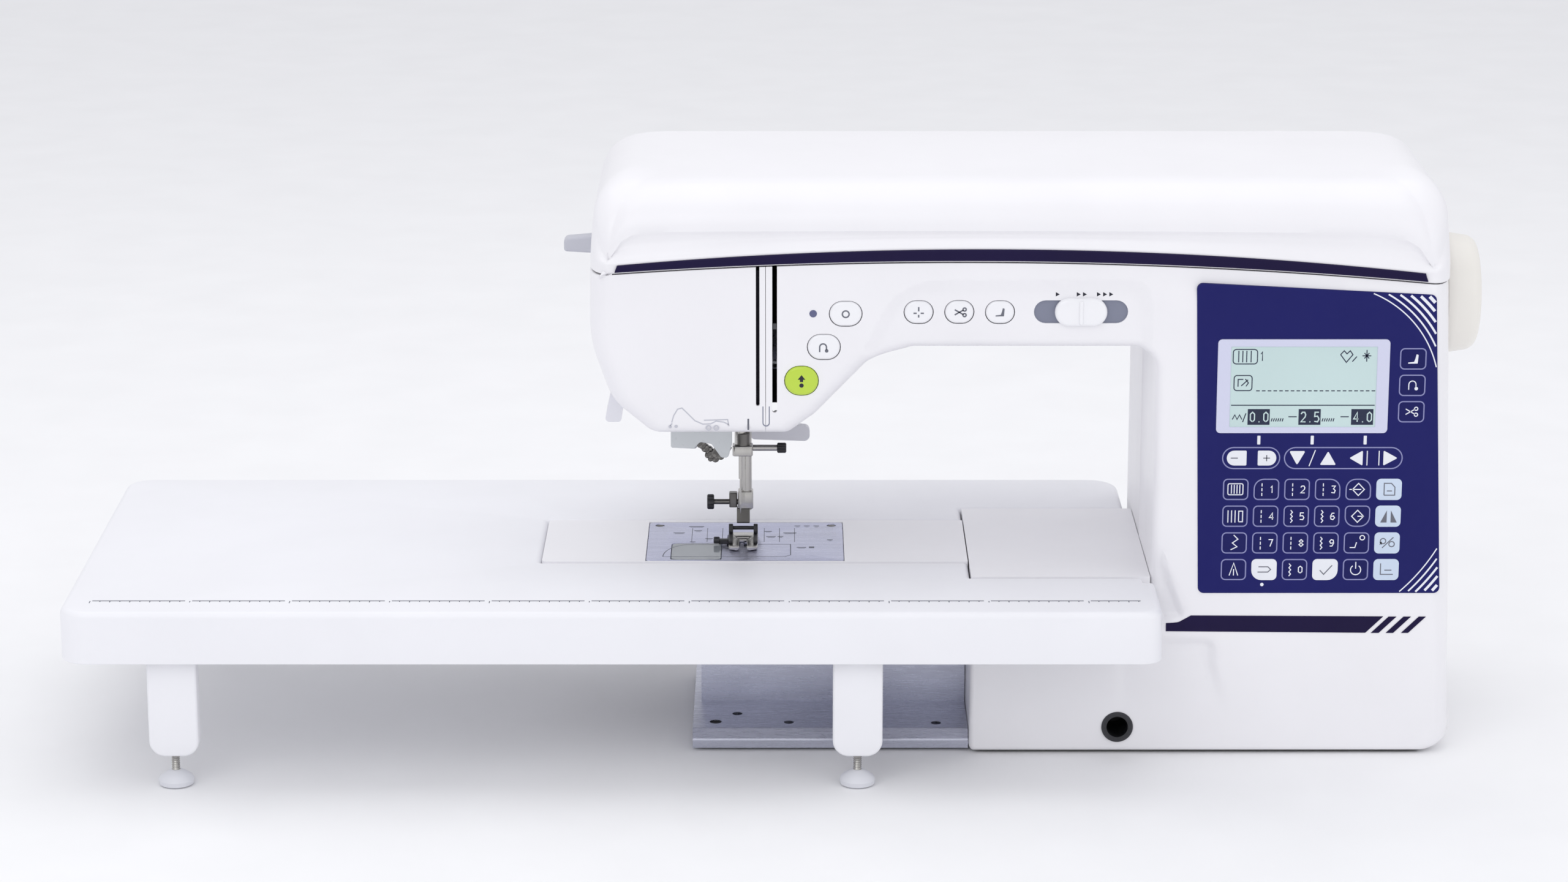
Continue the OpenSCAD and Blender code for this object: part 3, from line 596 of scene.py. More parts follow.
def seam_z(x):
    """Height of the joint between the lid and the housings."""
    return 256.92 + 0.04445 * x - 0.0001995 * x * x


def strip_z(x):
    """Height of the purple strip's upper edge."""
    return 262.51 + 0.06007 * x - 0.00025015 * x * x


def distance_inside(point, loop):
    """How far a point is inside a closed loop: 0 on it and outside."""
    if not inside(point, loop):
        return 0.0
    here = Vector((point[0], point[1]))
    best = 1e9
    for i, b in enumerate(loop):
        a = Vector(loop[i - 1])
        along = Vector(b) - a
        t = max(0.0, min(1.0, (here - a).dot(along) / max(along.length_squared, 1e-9)))
        best = min(best, (here - a - along * t).length)
    return best


# The arm's shallow recess, the hollow beside the table's corner and the one under the lower stripe.
ARM_RECESS = [(22, 160, 0), (35, 179, 0), (63.4, 218, 20), (78, 250, 34), (206, 251, 12), (206, 190, 0)]
CORNER_RECESS = [(200, 70.5, 0), (216, 70.8, 4), (227, 74, 4), (212, 116, 4), (200, 124, 0)]
SKIRT_RECESS = [(190, 16, 0), (253, 16, 0), (243.4, 50, 10), (243.2, 64.6, 8), (190, 64.6, 0)]
# Outline, depth, width of the ramp round it, and whether it fades out towards the bottom.
RECESSES = [(ARM_RECESS, 2.8, 5.0, False), (CORNER_RECESS, 4.0, 5.0, False), (SKIRT_RECESS, 3.0, 6.0, True)]
RECESS_LOOPS = [(rounded(outline, 8), *rest) for outline, *rest in RECESSES]


def kink_z(x):
    """Height of the soft crease across the base."""
    return 52.4 + 0.045 * (x - 245) + 30 * max(0.0, (x - 336) / 22) ** 2


def front_y(x, z):
    """The front surface of the head, arm, column and base."""
    bulge = max(smooth((x - 204) / 16), smooth((82 - z) / 14)) * smooth((250 - z) / 8)
    y = FRONT_Y - 2.0 * bulge
    if x > 100 and z < 70:
        y += 0.045 * max(0.0, kink_z(x) - z)
    for loop, depth, ramp, fades in RECESS_LOOPS:
        fade = smooth((z - 18) / 40) if fades else 1.0
        y += depth * fade * smooth(distance_inside((x, z), loop) / ramp)
    return y


def arc_points(x0, x1, pieces):
    """Points of the housings' upper edge from x0 to x1."""
    return [(x0 + (x1 - x0) * k / pieces, seam_z(x0 + (x1 - x0) * k / pieces) - 0.5, 0)
            for k in range(pieces + 1)]


# Each outline point is followed by how far the front and rear fillets of the edge after it reach in.
HEAD_LEFT = [((-76.6, 216, 60), 10), ((-66.3, 187, 28), 9), ((-46, HEAD_Z, 13), 6)]
RIGHT_PART = [((24, HEAD_Z, 8), 8), ((37, 179.5, 8), 8), ((65, 208.5, 16), 6), ((87, THROAT_Z, 14), 5),
              ((COLUMN_X, THROAT_Z, 11), 5), ((COLUMN_X, BASE_TOP, 0), 0), ((BASE_LEFT, BASE_TOP, 0), 2.4),
              ((BASE_LEFT, BASE_Z, 3), 3), ((FOOT_RIGHT, BASE_Z, 16), 12)]


def spaced(full, shrunk, depths, longest):
    """Both loops and the depths with more points, so that no step is longer than longest."""
    outer, inner, deep = [], [], []
    count = len(full)
    for i in range(count):
        j = (i + 1) % count
        parts = max(1, math.ceil(max((full[j] - full[i]).length, (shrunk[j] - shrunk[i]).length) / longest))
        for k in range(parts):
            t = k / parts
            outer.append(full[i].lerp(full[j], t))
            inner.append(shrunk[i].lerp(shrunk[j], t))
            deep.append(depths[i] + (depths[j] - depths[i]) * t)
    return outer, inner, deep


def shell_outline(corners):
    """The dense outline of a housing, its inset front outline, and the depth of its fillet."""
    outline = [c[0] for c in corners]
    reach = [c[1] for c in corners]
    full = rounded(outline, 10)
    shrunk = rounded(inset(outline, reach), 10, outline)
    depths = []
    for i, point in enumerate(outline):
        first = reach[i - 1] or reach[i]
        second = reach[i] or reach[i - 1]
        steps = 10 if point[2] > 0 else 0
        for k in range(steps + 1):
            t = k / steps if steps else 0.5
            depths.append(first + (second - first) * t)
    depths = [1.2 * d * (1 + max(0.0, d - 8.9) / 2.2) for d in depths]
    return spaced(full, shrunk, depths, 5.0)


def grid_points(loop, step, margin):
    xs = [p[0] for p in loop]
    zs = [p[1] for p in loop]
    points = []
    rows = int((max(zs) - min(zs)) / step)
    columns = int((max(xs) - min(xs)) / step)
    for r in range(rows + 1):
        for c in range(columns + 1):
            p = (min(xs) + c * step + (0.5 * step if r % 2 else 0), min(zs) + r * step)
            if distance_inside(p, loop) > margin:
                points.append(p)
    return points


def half_housing(corners, front, seam, step=5.0):
    """An open shell: a curved face with a rounded edge, and walls back to the seam."""
    outer, inner, depths = shell_outline(corners)
    shape = Shape()
    rings = []
    for level in range(7):
        angle = math.pi / 2 * level / 6
        ring = []
        for full, small, depth in zip(outer, inner, depths):
            p = full + (small - full) * (1 - math.sin(angle))
            face = front_y(small.x, small.y) if front else REAR_Y
            shift = depth * (1 - math.cos(angle)) * (1 if front else -1)
            ring.append((p.x, face + shift, p.y))
        rings.append(ring)
    opening = -30.0 if front else 44.0
    for y in (opening, seam + (-0.7 if front else 0.7)):
        rings.append([(p.x, y, p.y) for p in outer])
    tuck = 0.35
    middle_x = sum(p.x for p in outer) / len(outer)
    rings.append([(p.x + (tuck if p.x < middle_x else -tuck) * (abs(p.y - BASE_Z) > 1), seam, p.y)
                  for p in outer])
    shape.rings(rings)
    kept = []
    for face in shape.faces:
        pts = [shape.points[i] for i in face]
        x, y, z = (sum(p[k] for p in pts) / 4 for k in range(3))
        gap = -34 < x < 24 and abs(z - HEAD_Z) < 1.5 and (y > opening if front else y < opening)
        if not gap:
            kept.append(face)
    shape.faces = kept
    extra = grid_points(inner, step, step * 0.4)
    if front:
        for outline, _, ramp, _ in RECESSES:
            for t in (0, 0.25, 0.5, 0.75, 1):
                loop = [(p.x, p.y) for p in rounded(inset(outline, ramp * t), 8, outline)]
                dense = []
                for a, b in zip(loop, loop[1:] + loop[:1]):
                    parts = max(1, math.ceil(math.dist(a, b) / 4))
                    dense += [(a[0] + (b[0] - a[0]) * k / parts, a[1] + (b[1] - a[1]) * k / parts)
                              for k in range(parts)]
                extra += [p for p in dense if distance_inside(p, inner) > 0.6]
    shape.cap([inner], lambda p: (p.x, front_y(p.x, p.y) if front else REAR_Y, p.y), extra)
    return shape


def slot_cut(x0, z0, x1, z1, radius):
    """A cutter for an upright slot in the front wall."""
    return prism(box_outline(x0, z0, x1, z1, radius), FRONT_Y - 8, FRONT_Y + 12)


BUTTONS = {
    "tie_off_button": (8.1, 6.3), "reverse_button": (8.2, 6.4), "start_stop_button": (8.4, 7.4),
    "needle_position_button": (7.2, 5.8), "cutter_button": (7.2, 5.8), "presser_button": (7.2, 5.8),
}
SLOT_LEFT = (7.3, 185.2, 9.1, 262.0)
SLOT_RIGHT = (15.5, 181.8, 17.9, 262.0)
TRACK_HALF = (23.6, 5.9)
LED_AT = (36.0, 233.0)
THREADER_Y = 40.0
VENTS = 9


def make_housings():
    left = [((x, z, r), 0) for x, z, r in arc_points(COVER_X, SIDE_LEFT, 12)][:-1]
    left += [((SIDE_LEFT, seam_z(SIDE_LEFT) - 0.5, 0), 10)] + HEAD_LEFT
    left += [((-34, HEAD_Z, 0), 6), ((COVER_X, HEAD_Z, 0), 0)]
    slots = [slot_cut(*SLOT_LEFT, 0.85)]
    piece("face_cover_shell", half_housing(left, True, SEAM_Y - 0.2), WHITE, "machine",
          ["face_cover"], shell=WALL, facing=(0, -1, 0), cuts=slots)
    start = COVER_X + 0.25
    right = RIGHT_PART + [((x, z, r), 0) for x, z, r in arc_points(SIDE_RIGHT, start, 24)]
    right += [((start, HEAD_Z, 0), 6)]
    cuts = [slot_cut(*SLOT_RIGHT, 1.1)]
    for name, (w, h) in BUTTONS.items():
        at = centre_of(name)
        cuts.append(prism(pill_outline(at.x, at.z, w + 0.35, h + 0.35), FRONT_Y - 6, FRONT_Y + 12))
    slider = centre_of("speed_slider")
    cuts.append(prism(pill_outline(slider.x, slider.z, TRACK_HALF[0], TRACK_HALF[1]), FRONT_Y - 6,
                      FRONT_Y + 12))
    knee = centre_of("knee_lifter_socket")
    cuts.append(lathe([(FRONT_Y - 8, 7.7), (FRONT_Y + 12, 7.7)], (knee.x, 0, knee.z), "y", 40))
    switch_low, switch_high = span_of("power_switch")
    opening = box_outline(switch_low.y - 0.5, switch_low.z - 2.4, switch_high.y + 0.5, switch_high.z + 2.4)
    cuts.append(prism(opening, 350, 380, "x"))
    piece("front_housing_shell", half_housing(right, True, SEAM_Y - 0.2), WHITE, "machine",
          ["front_housing"], shell=WALL, facing=(0, -1, 0), cuts=cuts)
    whole = RIGHT_PART + [((x, z, r), 0) for x, z, r in arc_points(SIDE_RIGHT, SIDE_LEFT, 30)][:-1]
    whole += [((SIDE_LEFT, seam_z(SIDE_LEFT) - 0.5, 0), 10)] + HEAD_LEFT + [((-34, HEAD_Z, 0), 6)]
    inlet_low, inlet_high = span_of("power_inlet")
    cuts = [prism(box_outline(inlet_low.y - 0.2, inlet_low.z - 0.2, inlet_high.y + 0.2, inlet_high.z + 0.2),
                  340, 380, "x")]
    cuts.append(prism(box_outline(THREADER_Y - 3, 206, THREADER_Y + 3, 251, 1.5), -90, -60, "x"))
    for k in range(VENTS):
        x = 256 + 8 * k
        cuts.append(prism(box_outline(x, 42, x + 3, 92, 1.4), REAR_Y - 8, REAR_Y + 4))
    piece("rear_housing_shell", half_housing(whole, False, SEAM_Y, 12.0), WHITE, "machine",
          ["rear_housing"], shell=WALL, facing=(0, 1, 0), cuts=cuts)


make_housings()

# ---- lid ------------------------------------------------------------------------------------

LID_TOP = span_of("top_lid")[1].z
LID_REAR = 78.0
HINGE_XS = (40, 260)
HINGE_R = 3.4
HINGE_Y = span_of("top_lid")[1].y - HINGE_R
HINGE_Z = 263.0
CREASE_Z = 274.6
STRIP_LEFT, STRIP_RIGHT = -64.0, 344.0


def lid_dome(x, y):
    """Height of the lid's broad top."""
    return LID_TOP - 0.0006 * max(0.0, 32 - y) ** 2 - 0.000014 * (x - 142) ** 2


def crease_z(x):
    """Height of the crease above the strip, which curves down to the strip's ends."""
    middle = CREASE_Z - 0.00003 * (x - 100) ** 2
    left = max(0.0, (-46 - x) / 20.5)
    right = max(0.0, (x - 316) / 30)
    drop_left = 1 - math.sqrt(max(0.0, 1 - min(1.0, left) ** 2))
    drop_right = 1 - math.sqrt(max(0.0, 1 - min(1.0, right) ** 2))
    low = strip_z(x) + 2.2
    return middle - (middle - low) * max(drop_left, drop_right)


def front_profile(x):
    """(reach inwards, height) pairs up the lid's front, from the joint to the top."""
    low, top, crease = seam_z(x) + 0.1, strip_z(x), crease_z(x)
    scoop = 2.6 * smooth((crease - top) / 9)
    levels = [(0.5, low), (0.0, low + 0.5), (0.0, (low + top) / 2), (0.0, top - 0.2), (-0.15, top + 0.5),
              (0.05, top + 1.2), (0.5, top + 1.7)]
    for k in range(1, 9):
        t = k / 8
        base = 0.5 + 3.0 * t
        bowl = scoop * math.sin(math.pi * t ** 1.5)
        levels.append((base + bowl, top + 1.7 + (crease - top - 1.7) * t))
    dome = lid_dome(x, FRONT_Y + 36)
    for k in range(1, 13):
        angle = math.pi / 2 * k / 12
        levels.append((3.5 + 30 * (1 - math.cos(angle)) ** 0.9,
                       crease + 0.4 + (dome - crease - 0.4) * math.sin(angle)))
    return levels


def lid_columns():
    """(x, y, share of the front's shape) of points round the lid's foot."""
    columns = []
    for k in range(84):
        columns.append((SIDE_LEFT + 10 + (SIDE_RIGHT - SIDE_LEFT - 22) * k / 84, FRONT_Y, 1.0))
    for k in range(14):
        t = math.pi / 2 * k / 14
        columns.append((SIDE_RIGHT - 12 + 12 * math.sin(t), FRONT_Y + 26 - 26 * math.cos(t),
                        1 - smooth(k / 14)))
    for k in range(9):
        columns.append((SIDE_RIGHT, FRONT_Y + 26 + (LID_REAR - 20 - FRONT_Y - 26) * k / 9, 0.0))
    for k in range(10):
        t = math.pi / 2 * k / 10
        columns.append((SIDE_RIGHT - 20 + 20 * math.cos(t), LID_REAR - 20 + 20 * math.sin(t), 0.0))
    for k in range(40):
        columns.append((SIDE_RIGHT - 20 + (SIDE_LEFT - SIDE_RIGHT + 40) * k / 40, LID_REAR, 0.0))
    for k in range(10):
        t = math.pi / 2 * (1 + k / 10)
        columns.append((SIDE_LEFT + 20 + 20 * math.cos(t), LID_REAR - 20 + 20 * math.sin(t), 0.0))
    for k in range(9):
        columns.append((SIDE_LEFT, LID_REAR - 20 + (FRONT_Y + 24 - LID_REAR + 20) * k / 9, 0.0))
    for k in range(14):
        t = math.pi / 2 * k / 14
        columns.append((SIDE_LEFT + 10 - 10 * math.cos(t), FRONT_Y + 24 - 24 * math.sin(t), smooth(k / 14)))
    return columns


def lid_ring(columns, level):
    """The lid's outline at one level, drawn in from the front, the sides and the rear."""
    side_reach, side_z = side_profile(level)
    rear_reach, rear_z = rear_profile(level)
    ring = []
    for x, y, share in columns:
        front_reach, front_z = front_profile(x)[level]
        behind = smooth((y - LID_REAR + 20) / 20)
        across = (x - SIDE_LEFT) / (SIDE_RIGHT - SIDE_LEFT)
        along = (y - FRONT_Y) / (LID_REAR - FRONT_Y)
        new_x = SIDE_LEFT + side_reach + (SIDE_RIGHT - SIDE_LEFT - 2 * side_reach) * across
        new_y = FRONT_Y + front_reach + (LID_REAR - FRONT_Y - front_reach - rear_reach) * along
        z = front_z * share + (1 - share) * (side_z(x) * (1 - behind) + rear_z(x) * behind)
        ring.append((new_x, new_y, z))
    return ring


def wall_profile(level, radius, lean):
    """Reach inwards of an upright wall with a round shoulder, and its height as a function of x."""
    if level < 2:
        return (0.5 if level == 0 else 0.0), lambda x: seam_z(x) + 0.1 + 0.5 * level
    if level < 15:
        t = (level - 1) / 13
        return lean * t * t, lambda x: (seam_z(x) + 0.6) * (1 - t) + (LID_TOP - 0.6 - radius) * t
    angle = math.pi / 2 * (level - 14) / 12
    return lean + radius * (1 - math.cos(angle)), lambda x: LID_TOP - 0.6 - radius * (1 - math.sin(angle))


def side_profile(level):
    return wall_profile(level, 22, 1.6)


def rear_profile(level):
    return wall_profile(level, 10, 0.8)


def make_lid():
    columns = lid_columns()
    levels = len(front_profile(0.0))
    shape = Shape()
    rings = [lid_ring(columns, level) for level in range(levels)]
    shape.rings(rings)
    loop = [Vector(p[:2]) for p in rings[-1]]
    heights = {(round(p[0], 3), round(p[1], 3)): p[2] for p in rings[-1]}
    shape.cap([loop], lambda p: (p.x, p.y, heights.get((round(p.x, 3), round(p.y, 3)), lid_dome(p.x, p.y))),
              grid_points(loop, 9.0, 6.0))
    piece("lid_shell", shape, WHITE, "lid", ["top_lid"], shell=WALL, facing=(0, 0, 1),
          sharp=40)


make_lid()


def make_hinges():
    """The lid's two knuckles, and the posts and pins they turn on."""
    y, z = HINGE_Y, HINGE_Z
    for n, x in enumerate(HINGE_XS):
        knuckle = prism([(LID_REAR - 0.8, z - 3.3, 0), (y + HINGE_R, z - 3.3, 3.2),
                         (y + HINGE_R, z + 3.3, 3.2),
                         (LID_REAR - 0.8, z + 3.3, 0)], x, x + 20, "x")
        piece(f"hinge_knuckle_{n}", knuckle, WHITE, "lid", ["top_lid"],
              cuts=[cylinder(x - 4, y, z, 1.6, 28, "x")], bevel=0.3)
        shape = cylinder(x - 3.5, y, z, 1.5, 27, "x")
        for left in (x - 4, x + 20.5):
            shape.merge(prism([(y - 3, 252, 0), (y + HINGE_R, 252, 0), (y + HINGE_R, z + 3.2, 3.0),
                               (y - 3, z + 3.2, 3.0)],
                              left, left + 3.5, "x"))
        piece(f"hinge_posts_{n}", shape, WHITE, "machine", ["rear_housing"])


make_hinges()


def make_strip():
    """The purple strip: a slab that follows the lid's front, round at both ends."""
    count = 72
    loop = []
    for k in range(count + 1):
        x = STRIP_LEFT + 0.8 + (STRIP_RIGHT - STRIP_LEFT - 1.6) * k / count
        loop.append(Vector((x, seam_z(x) + 0.7)))
    for k in range(count + 1):
        x = STRIP_RIGHT - 2 - (STRIP_RIGHT - STRIP_LEFT - 4) * k / count
        loop.append(Vector((x, strip_z(x) - 0.15)))
    shape = Shape()
    outer, middle = FRONT_Y - 1.1, FRONT_Y - 0.6
    inner = [p + Vector((0, 0.5 if i <= count else -0.5)) for i, p in enumerate(loop)]
    shape.rings([[(p.x, FRONT_Y + 1.2, p.y) for p in loop], [(p.x, middle, p.y) for p in loop],
                 [(p.x, outer, p.y) for p in inner]])
    for ring, y in ((loop, FRONT_Y + 1.2), (inner, outer)):
        shape.cap([ring], lambda p, y=y: (p.x, y, p.y))
    piece("strip", shape, PURPLE, "lid", ["accent_strip"])


make_strip()

# ---- table, plates and wheel ----------------------------------------------------------------

TABLE_LOW, TABLE_HIGH = span_of("extension_table")
TABLE_PLAN = [(TABLE_LOW.x, TABLE_LOW.y, 14), (TABLE_HIGH.x, TABLE_LOW.y, 10), (TABLE_HIGH.x, -73.2, 1),
              (204.5, -73.2, 1), (204.5, -65.5, 1), (116.3, -65.5, 1), (116.3, -38.3, 1), (-104, -38.3, 1),
              (-104, 39.3, 1), (116.3, 39.3, 1), (116.3, 62.5, 1), (204.5, 62.5, 1),
              (204.5, TABLE_HIGH.y, 16),
              (TABLE_LOW.x, TABLE_HIGH.y, 14)]
LEG_XS = (-285.0, 58.4)
LEG_YS = (-115.0, 110.0)


def rails():
    """The underside ribs and the ears that carry the legs."""
    parts = []
    for x in (-240, -170, -30, 30, 120):
        parts.append(prism(box_outline(x - 1, -104, x + 1, -37), 80, 92, "z"))
        parts.append(prism(box_outline(x - 1, 38, x + 1, 99), 80, 92, "z"))
    for x in LEG_XS:
        for y in LEG_YS:
            for side in (-1, 1):
                low = y + side * 6.8 - 1.5
                parts.append(prism([(x - 6, 68, 4), (x + 6, 68, 4), (x + 6, 92, 0), (x - 6, 92, 0)], low,
                                   low + 3))
    return parts


def make_table():
    cavity = prism(inset(TABLE_PLAN, 3), TABLE_LOW.z - 2, TABLE_HIGH.z - 3, "z")
    body = prism(TABLE_PLAN, TABLE_LOW.z, TABLE_HIGH.z, "z", 0.8, 3.6, steps=5, arc=10)
    piece("table_top", body, TABLE_WHITE, "table", ["extension_table"], cuts=[cavity],
          sharp=50)
    piece("table_rails", together(rails()), TABLE_WHITE, "table")
    marks = []
    top = TABLE_HIGH.z
    for k in range(106):
        x = -326 + 5 * k
        deep = 3.4 if k % 20 == 0 else 2.2 if k % 2 == 0 else 1.4
        marks.append(prism(box_outline(x - 0.25, -107.2 - deep, x + 0.25, -107.2), top - 0.2, top + 0.02,
                           "z"))
    for k in range(0, 105, 10):
        marks.append(prism(box_outline(-325 + 5 * k, -107.4, min(-278.5 + 5 * k, 200), -106.2), top - 0.2,
                           top + 0.02, "z"))
    piece("table_ruler", together(marks), INK, "table")


def make_legs():
    for row, y in zip(("front", "rear"), LEG_YS):
        for side, x in zip(("left", "right"), LEG_XS):
            node = f"table_leg_{row}_{side}"
            low, high = span_of(node)
            outline = [(x - 12.5, low.z, 8), (x + 12.5, low.z, 8), (x + 12.5, high.z - 14, 3),
                       (x + 8, high.z - 6, 3),
                       (x + 8, high.z, 6), (x - 8, high.z, 6), (x - 8, high.z - 6, 3),
                       (x - 12.5, high.z - 14, 3)]
            pocket = prism(box_outline(x - 8.5, low.z + 8, x + 8.5, high.z - 18, 4), y - 1.5, y + 20)
            piece(f"{row}_{side}_leg", prism(outline, y - 5, y + 5, "y", 1.4, 1.4, arc=8), TABLE_WHITE,
                  f"leg_{row}_{side}", [node], cuts=[pocket])
            foot_top = span_of(f"table_foot_{row}_{side}")[1].z
            cup = [(0, 6), (0, 7.4), (0.8, 8.7), (3, 9), (4.6, 8.2), (6.4, 5.6), (7.6, 3.4), (8, 2.1)]
            screw = [(8, 2.15)]
            for k in range(12):
                z = 8.4 + k
                screw += [(z, 2.15), (z + 0.5, 1.8)]
            screw += [(foot_top, 2.0)]
            body = f"foot_{row}_{side}"
            piece(f"{row}_{side}_cup", lathe(cup, (x, y, 0), "z", 40), FOOT_GREY, body,
                  [f"table_foot_{row}_{side}"])
            piece(f"{row}_{side}_screw", lathe(screw, (x, y, 0), "z", 24), CHROME, body)


def make_wheel():
    low, high = span_of("handwheel")
    middle = (low + high) / 2
    r = (high.z - low.z) / 2
    edge = [(high.x - 7 + 7 * math.sin(t), r - 1 - 6 * (1 - math.cos(t)))
            for t in [math.pi / 2 * k / 8 for k in range(9)]]
    profile = [(low.x, 8), (low.x, r - 2.6), (low.x + 0.8, r - 1.2), (low.x + 2.5, r - 0.4),
               (low.x + 5, r)] + edge
    profile += [(high.x - 0.4, r - 9), (high.x - 1.6, r - 11), (high.x - 1.8, 12), (high.x - 1.2, 9),
                (high.x - 1.2, 0.01)]
    piece("wheel_rim", lathe(profile, (0, middle.y, middle.z), "x", 96), WARM_WHITE, "upper_drive",
          ["handwheel"])


PLATE_SCREWS = ((-44.5, 29.5), (46.5, 29.5))


def make_plate():
    low, high = span_of("needle_plate")
    hatch_low, hatch_high = span_of("bobbin_cover")
    top = high.z
    holes = [box_outline(hatch_low.x - 0.3, hatch_low.y - 0.3, hatch_high.x + 0.3, hatch_high.y + 0.3, 2.0),
             box_outline(-4.6, -1.0, 2.0, 1.0, 0.9)]
    for k, x in enumerate((-8.2, -3.9, 0.4, 4.7)):
        holes.append(box_outline(x, -11 + 2 * (k % 2), x + 2.2, -3.0, 1.0))
        holes.append(box_outline(x, 3.0, x + 2.2, 12, 1.0))
    for x, y in PLATE_SCREWS:
        holes.append(pill_outline(x, y, 2.4, 2.4))
    piece("stitch_plate", prism(box_outline(low.x, low.y, high.x, high.y, 2.5), top - 1.8, top, "z", 0.2,
                                0.4, holes=holes),
          PLATE_STEEL, "machine", ["needle_plate"])
    screws = [prism(pill_outline(x, y, 2.1, 2.1), top - 1.7, top - 0.2, "z", 0, 0.4, arc=8)
              for x, y in PLATE_SCREWS]
    piece("plate_screws", together(screws), DARK_STEEL, "machine")
    lines = []
    arc = [(-41.4 + 14 * (1 - math.cos(t)), -29 + 22 * math.sin(t))
           for t in [math.pi / 2 * k / 14 for k in range(15)]]
    window = arc + [(-12, -6.2), (24.8, -6.2), (24.8, -26), (22, -29)]
    lines.append(ribbon(window, 0.5, top - 0.05, top + 0.02, "z", True))
    dashes = [(-37, 15, 6), (-29, 27, 8), (-26, 19, 4), (21, 15, 7), (11, 18, 4), (28, -12, 5), (27, 28, 3),
              (32, 28, 3),
              (37, 28, 3), (44, 2, 3), (-20, 4, 4), (12, 8, 5), (18, 8, 3), (-28, -2, 3)]
    for x, y, length in dashes:
        lines.append(ribbon([(x, y), (x + length, y)], 1.1, top - 0.05, top + 0.02, "z"))
        lines.append(ribbon([(x + 0.8, y - 1.8), (x + length - 0.6, y - 1.8)], 0.5, top - 0.05, top + 0.02,
                            "z"))
    for x in (-27, -19, -11, 11, 19, 27):
        lines.append(ribbon([(x, 24), (x, -2)], 0.3, top - 0.05, top + 0.02, "z"))
    lines.append(prism(box_outline(34.4, -13.4, 37.2, -10.6), top - 0.05, top + 0.02, "z"))
    piece("plate_marks", together(lines), INK, "machine")


make_table()
make_legs()
make_wheel()
make_plate()

# ---- buttons, slider and prints on the head -------------------------------------------------


def printed(name, strokes, fills, width, front, material, body, depth=0.12):
    """Thin printed lines and areas just proud of a surface that faces the operator.
    A stroke is an open path, or a tuple of a path and True when it closes."""
    shapes = []
    for stroke in strokes:
        path, closed = stroke if isinstance(stroke, tuple) else (stroke, False)
        shapes.append(ribbon(path, width, front, front + depth, "y", closed))
    shapes += [prism(outline, front, front + depth) for outline in fills]
    return piece(name, together(shapes), material, body)


def ring_path(x, z, radius, start=0.0, turn=2 * math.pi, count=20):
    return [(x + radius * math.cos(start + turn * k / count),
             z + radius * math.sin(start + turn * k / count))
            for k in range(count + (turn < 6.2))]


def foot_icon(x, z, s):
    return [(x - 3 * s, z - 2 * s, 0), (x + 0.5 * s, z - 1.6 * s, 0), (x + 1.2 * s, z + 0.4 * s, 0),
            (x + 1.8 * s, z + 3 * s, 0),
            (x + 3 * s, z + 2.6 * s, 0), (x + 2.6 * s, z - 2.6 * s, 0), (x - 3 * s, z - 2.7 * s, 0)][::-1]


def scissors(x, z, s):
    return [[(x - 2.6 * s, z + 1.5 * s), (x + 2.2 * s, z - 1.3 * s)],
            [(x - 2.6 * s, z - 1.5 * s), (x + 2.2 * s, z + 1.3 * s)],
            (ring_path(x + 2.9 * s, z - 1.6 * s, 0.9 * s, count=12), True),
            (ring_path(x + 2.9 * s, z + 1.6 * s, 0.9 * s, count=12), True)]


def u_turn(x, z, s):
    bend = ring_path(x, z + 0.6 * s, 2 * s, math.pi, -math.pi, 10)
    return [[(x - 2 * s, z - 2.4 * s), (x - 2 * s, z + 0.6 * s)] + bend[1:] + [(x + 2 * s, z - 1 * s)]]


BUTTON_BODIES = {"tie_off_button": "tie_off", "reverse_button": "reverse",
                 "start_stop_button": "start_stop",
                 "needle_position_button": "needle_position", "cutter_button": "cutter",
                 "presser_button": "presser_key"}


def make_buttons():
    for node, (w, h) in BUTTONS.items():
        at = centre_of(node)
        green = node == "start_stop_button"
        face = front_y(at.x, at.z) - (1.3 if green else 0.7)
        body = BUTTON_BODIES[node]
        shape = prism(pill_outline(at.x, at.z, w, h), face, face + 7, "y", 1.5, 0.2, steps=5, arc=9)
        piece(body + "_cap", shape, GREEN if green else GLOSS_WHITE, body, [node], sharp=60)
        x, z = at.x, at.z
        strokes, fills = [], []
        if node == "tie_off_button":
            strokes = [(ring_path(x, z, 1.7), True)]
        elif node == "reverse_button":
            strokes = u_turn(x - 0.4, z - 0.4, 0.85)
            fills = [pill_outline(x + 1.4, z - 1.8, 0.9, 0.9)]
        elif green:
            fills = [[(x - 0.8, z - 0.4, 0), (x + 0.8, z - 0.4, 0), (x + 0.8, z + 0.8, 0),
                      (x + 1.9, z + 0.8, 0), (x, z + 3.2, 0),
                      (x - 1.9, z + 0.8, 0), (x - 0.8, z + 0.8, 0)], pill_outline(x, z - 2.2, 1.1, 1.1)]
        elif node == "needle_position_button":
            strokes = [[(x, z - 2.6), (x, z - 1.2)], [(x, z + 0.6), (x, z + 2.8)],
                       [(x - 2.6, z - 0.4), (x - 1, z - 0.4)], [(x + 1, z - 0.4), (x + 2.6, z - 0.4)]]
        elif node == "cutter_button":
            strokes = scissors(x, z, 0.9)
        else:
            fills = [foot_icon(x, z, 0.75)]
        printed(body + "_mark", strokes, fills, 0.7, face - 0.06, DARK_INK if green else INK, body,
                0.2)


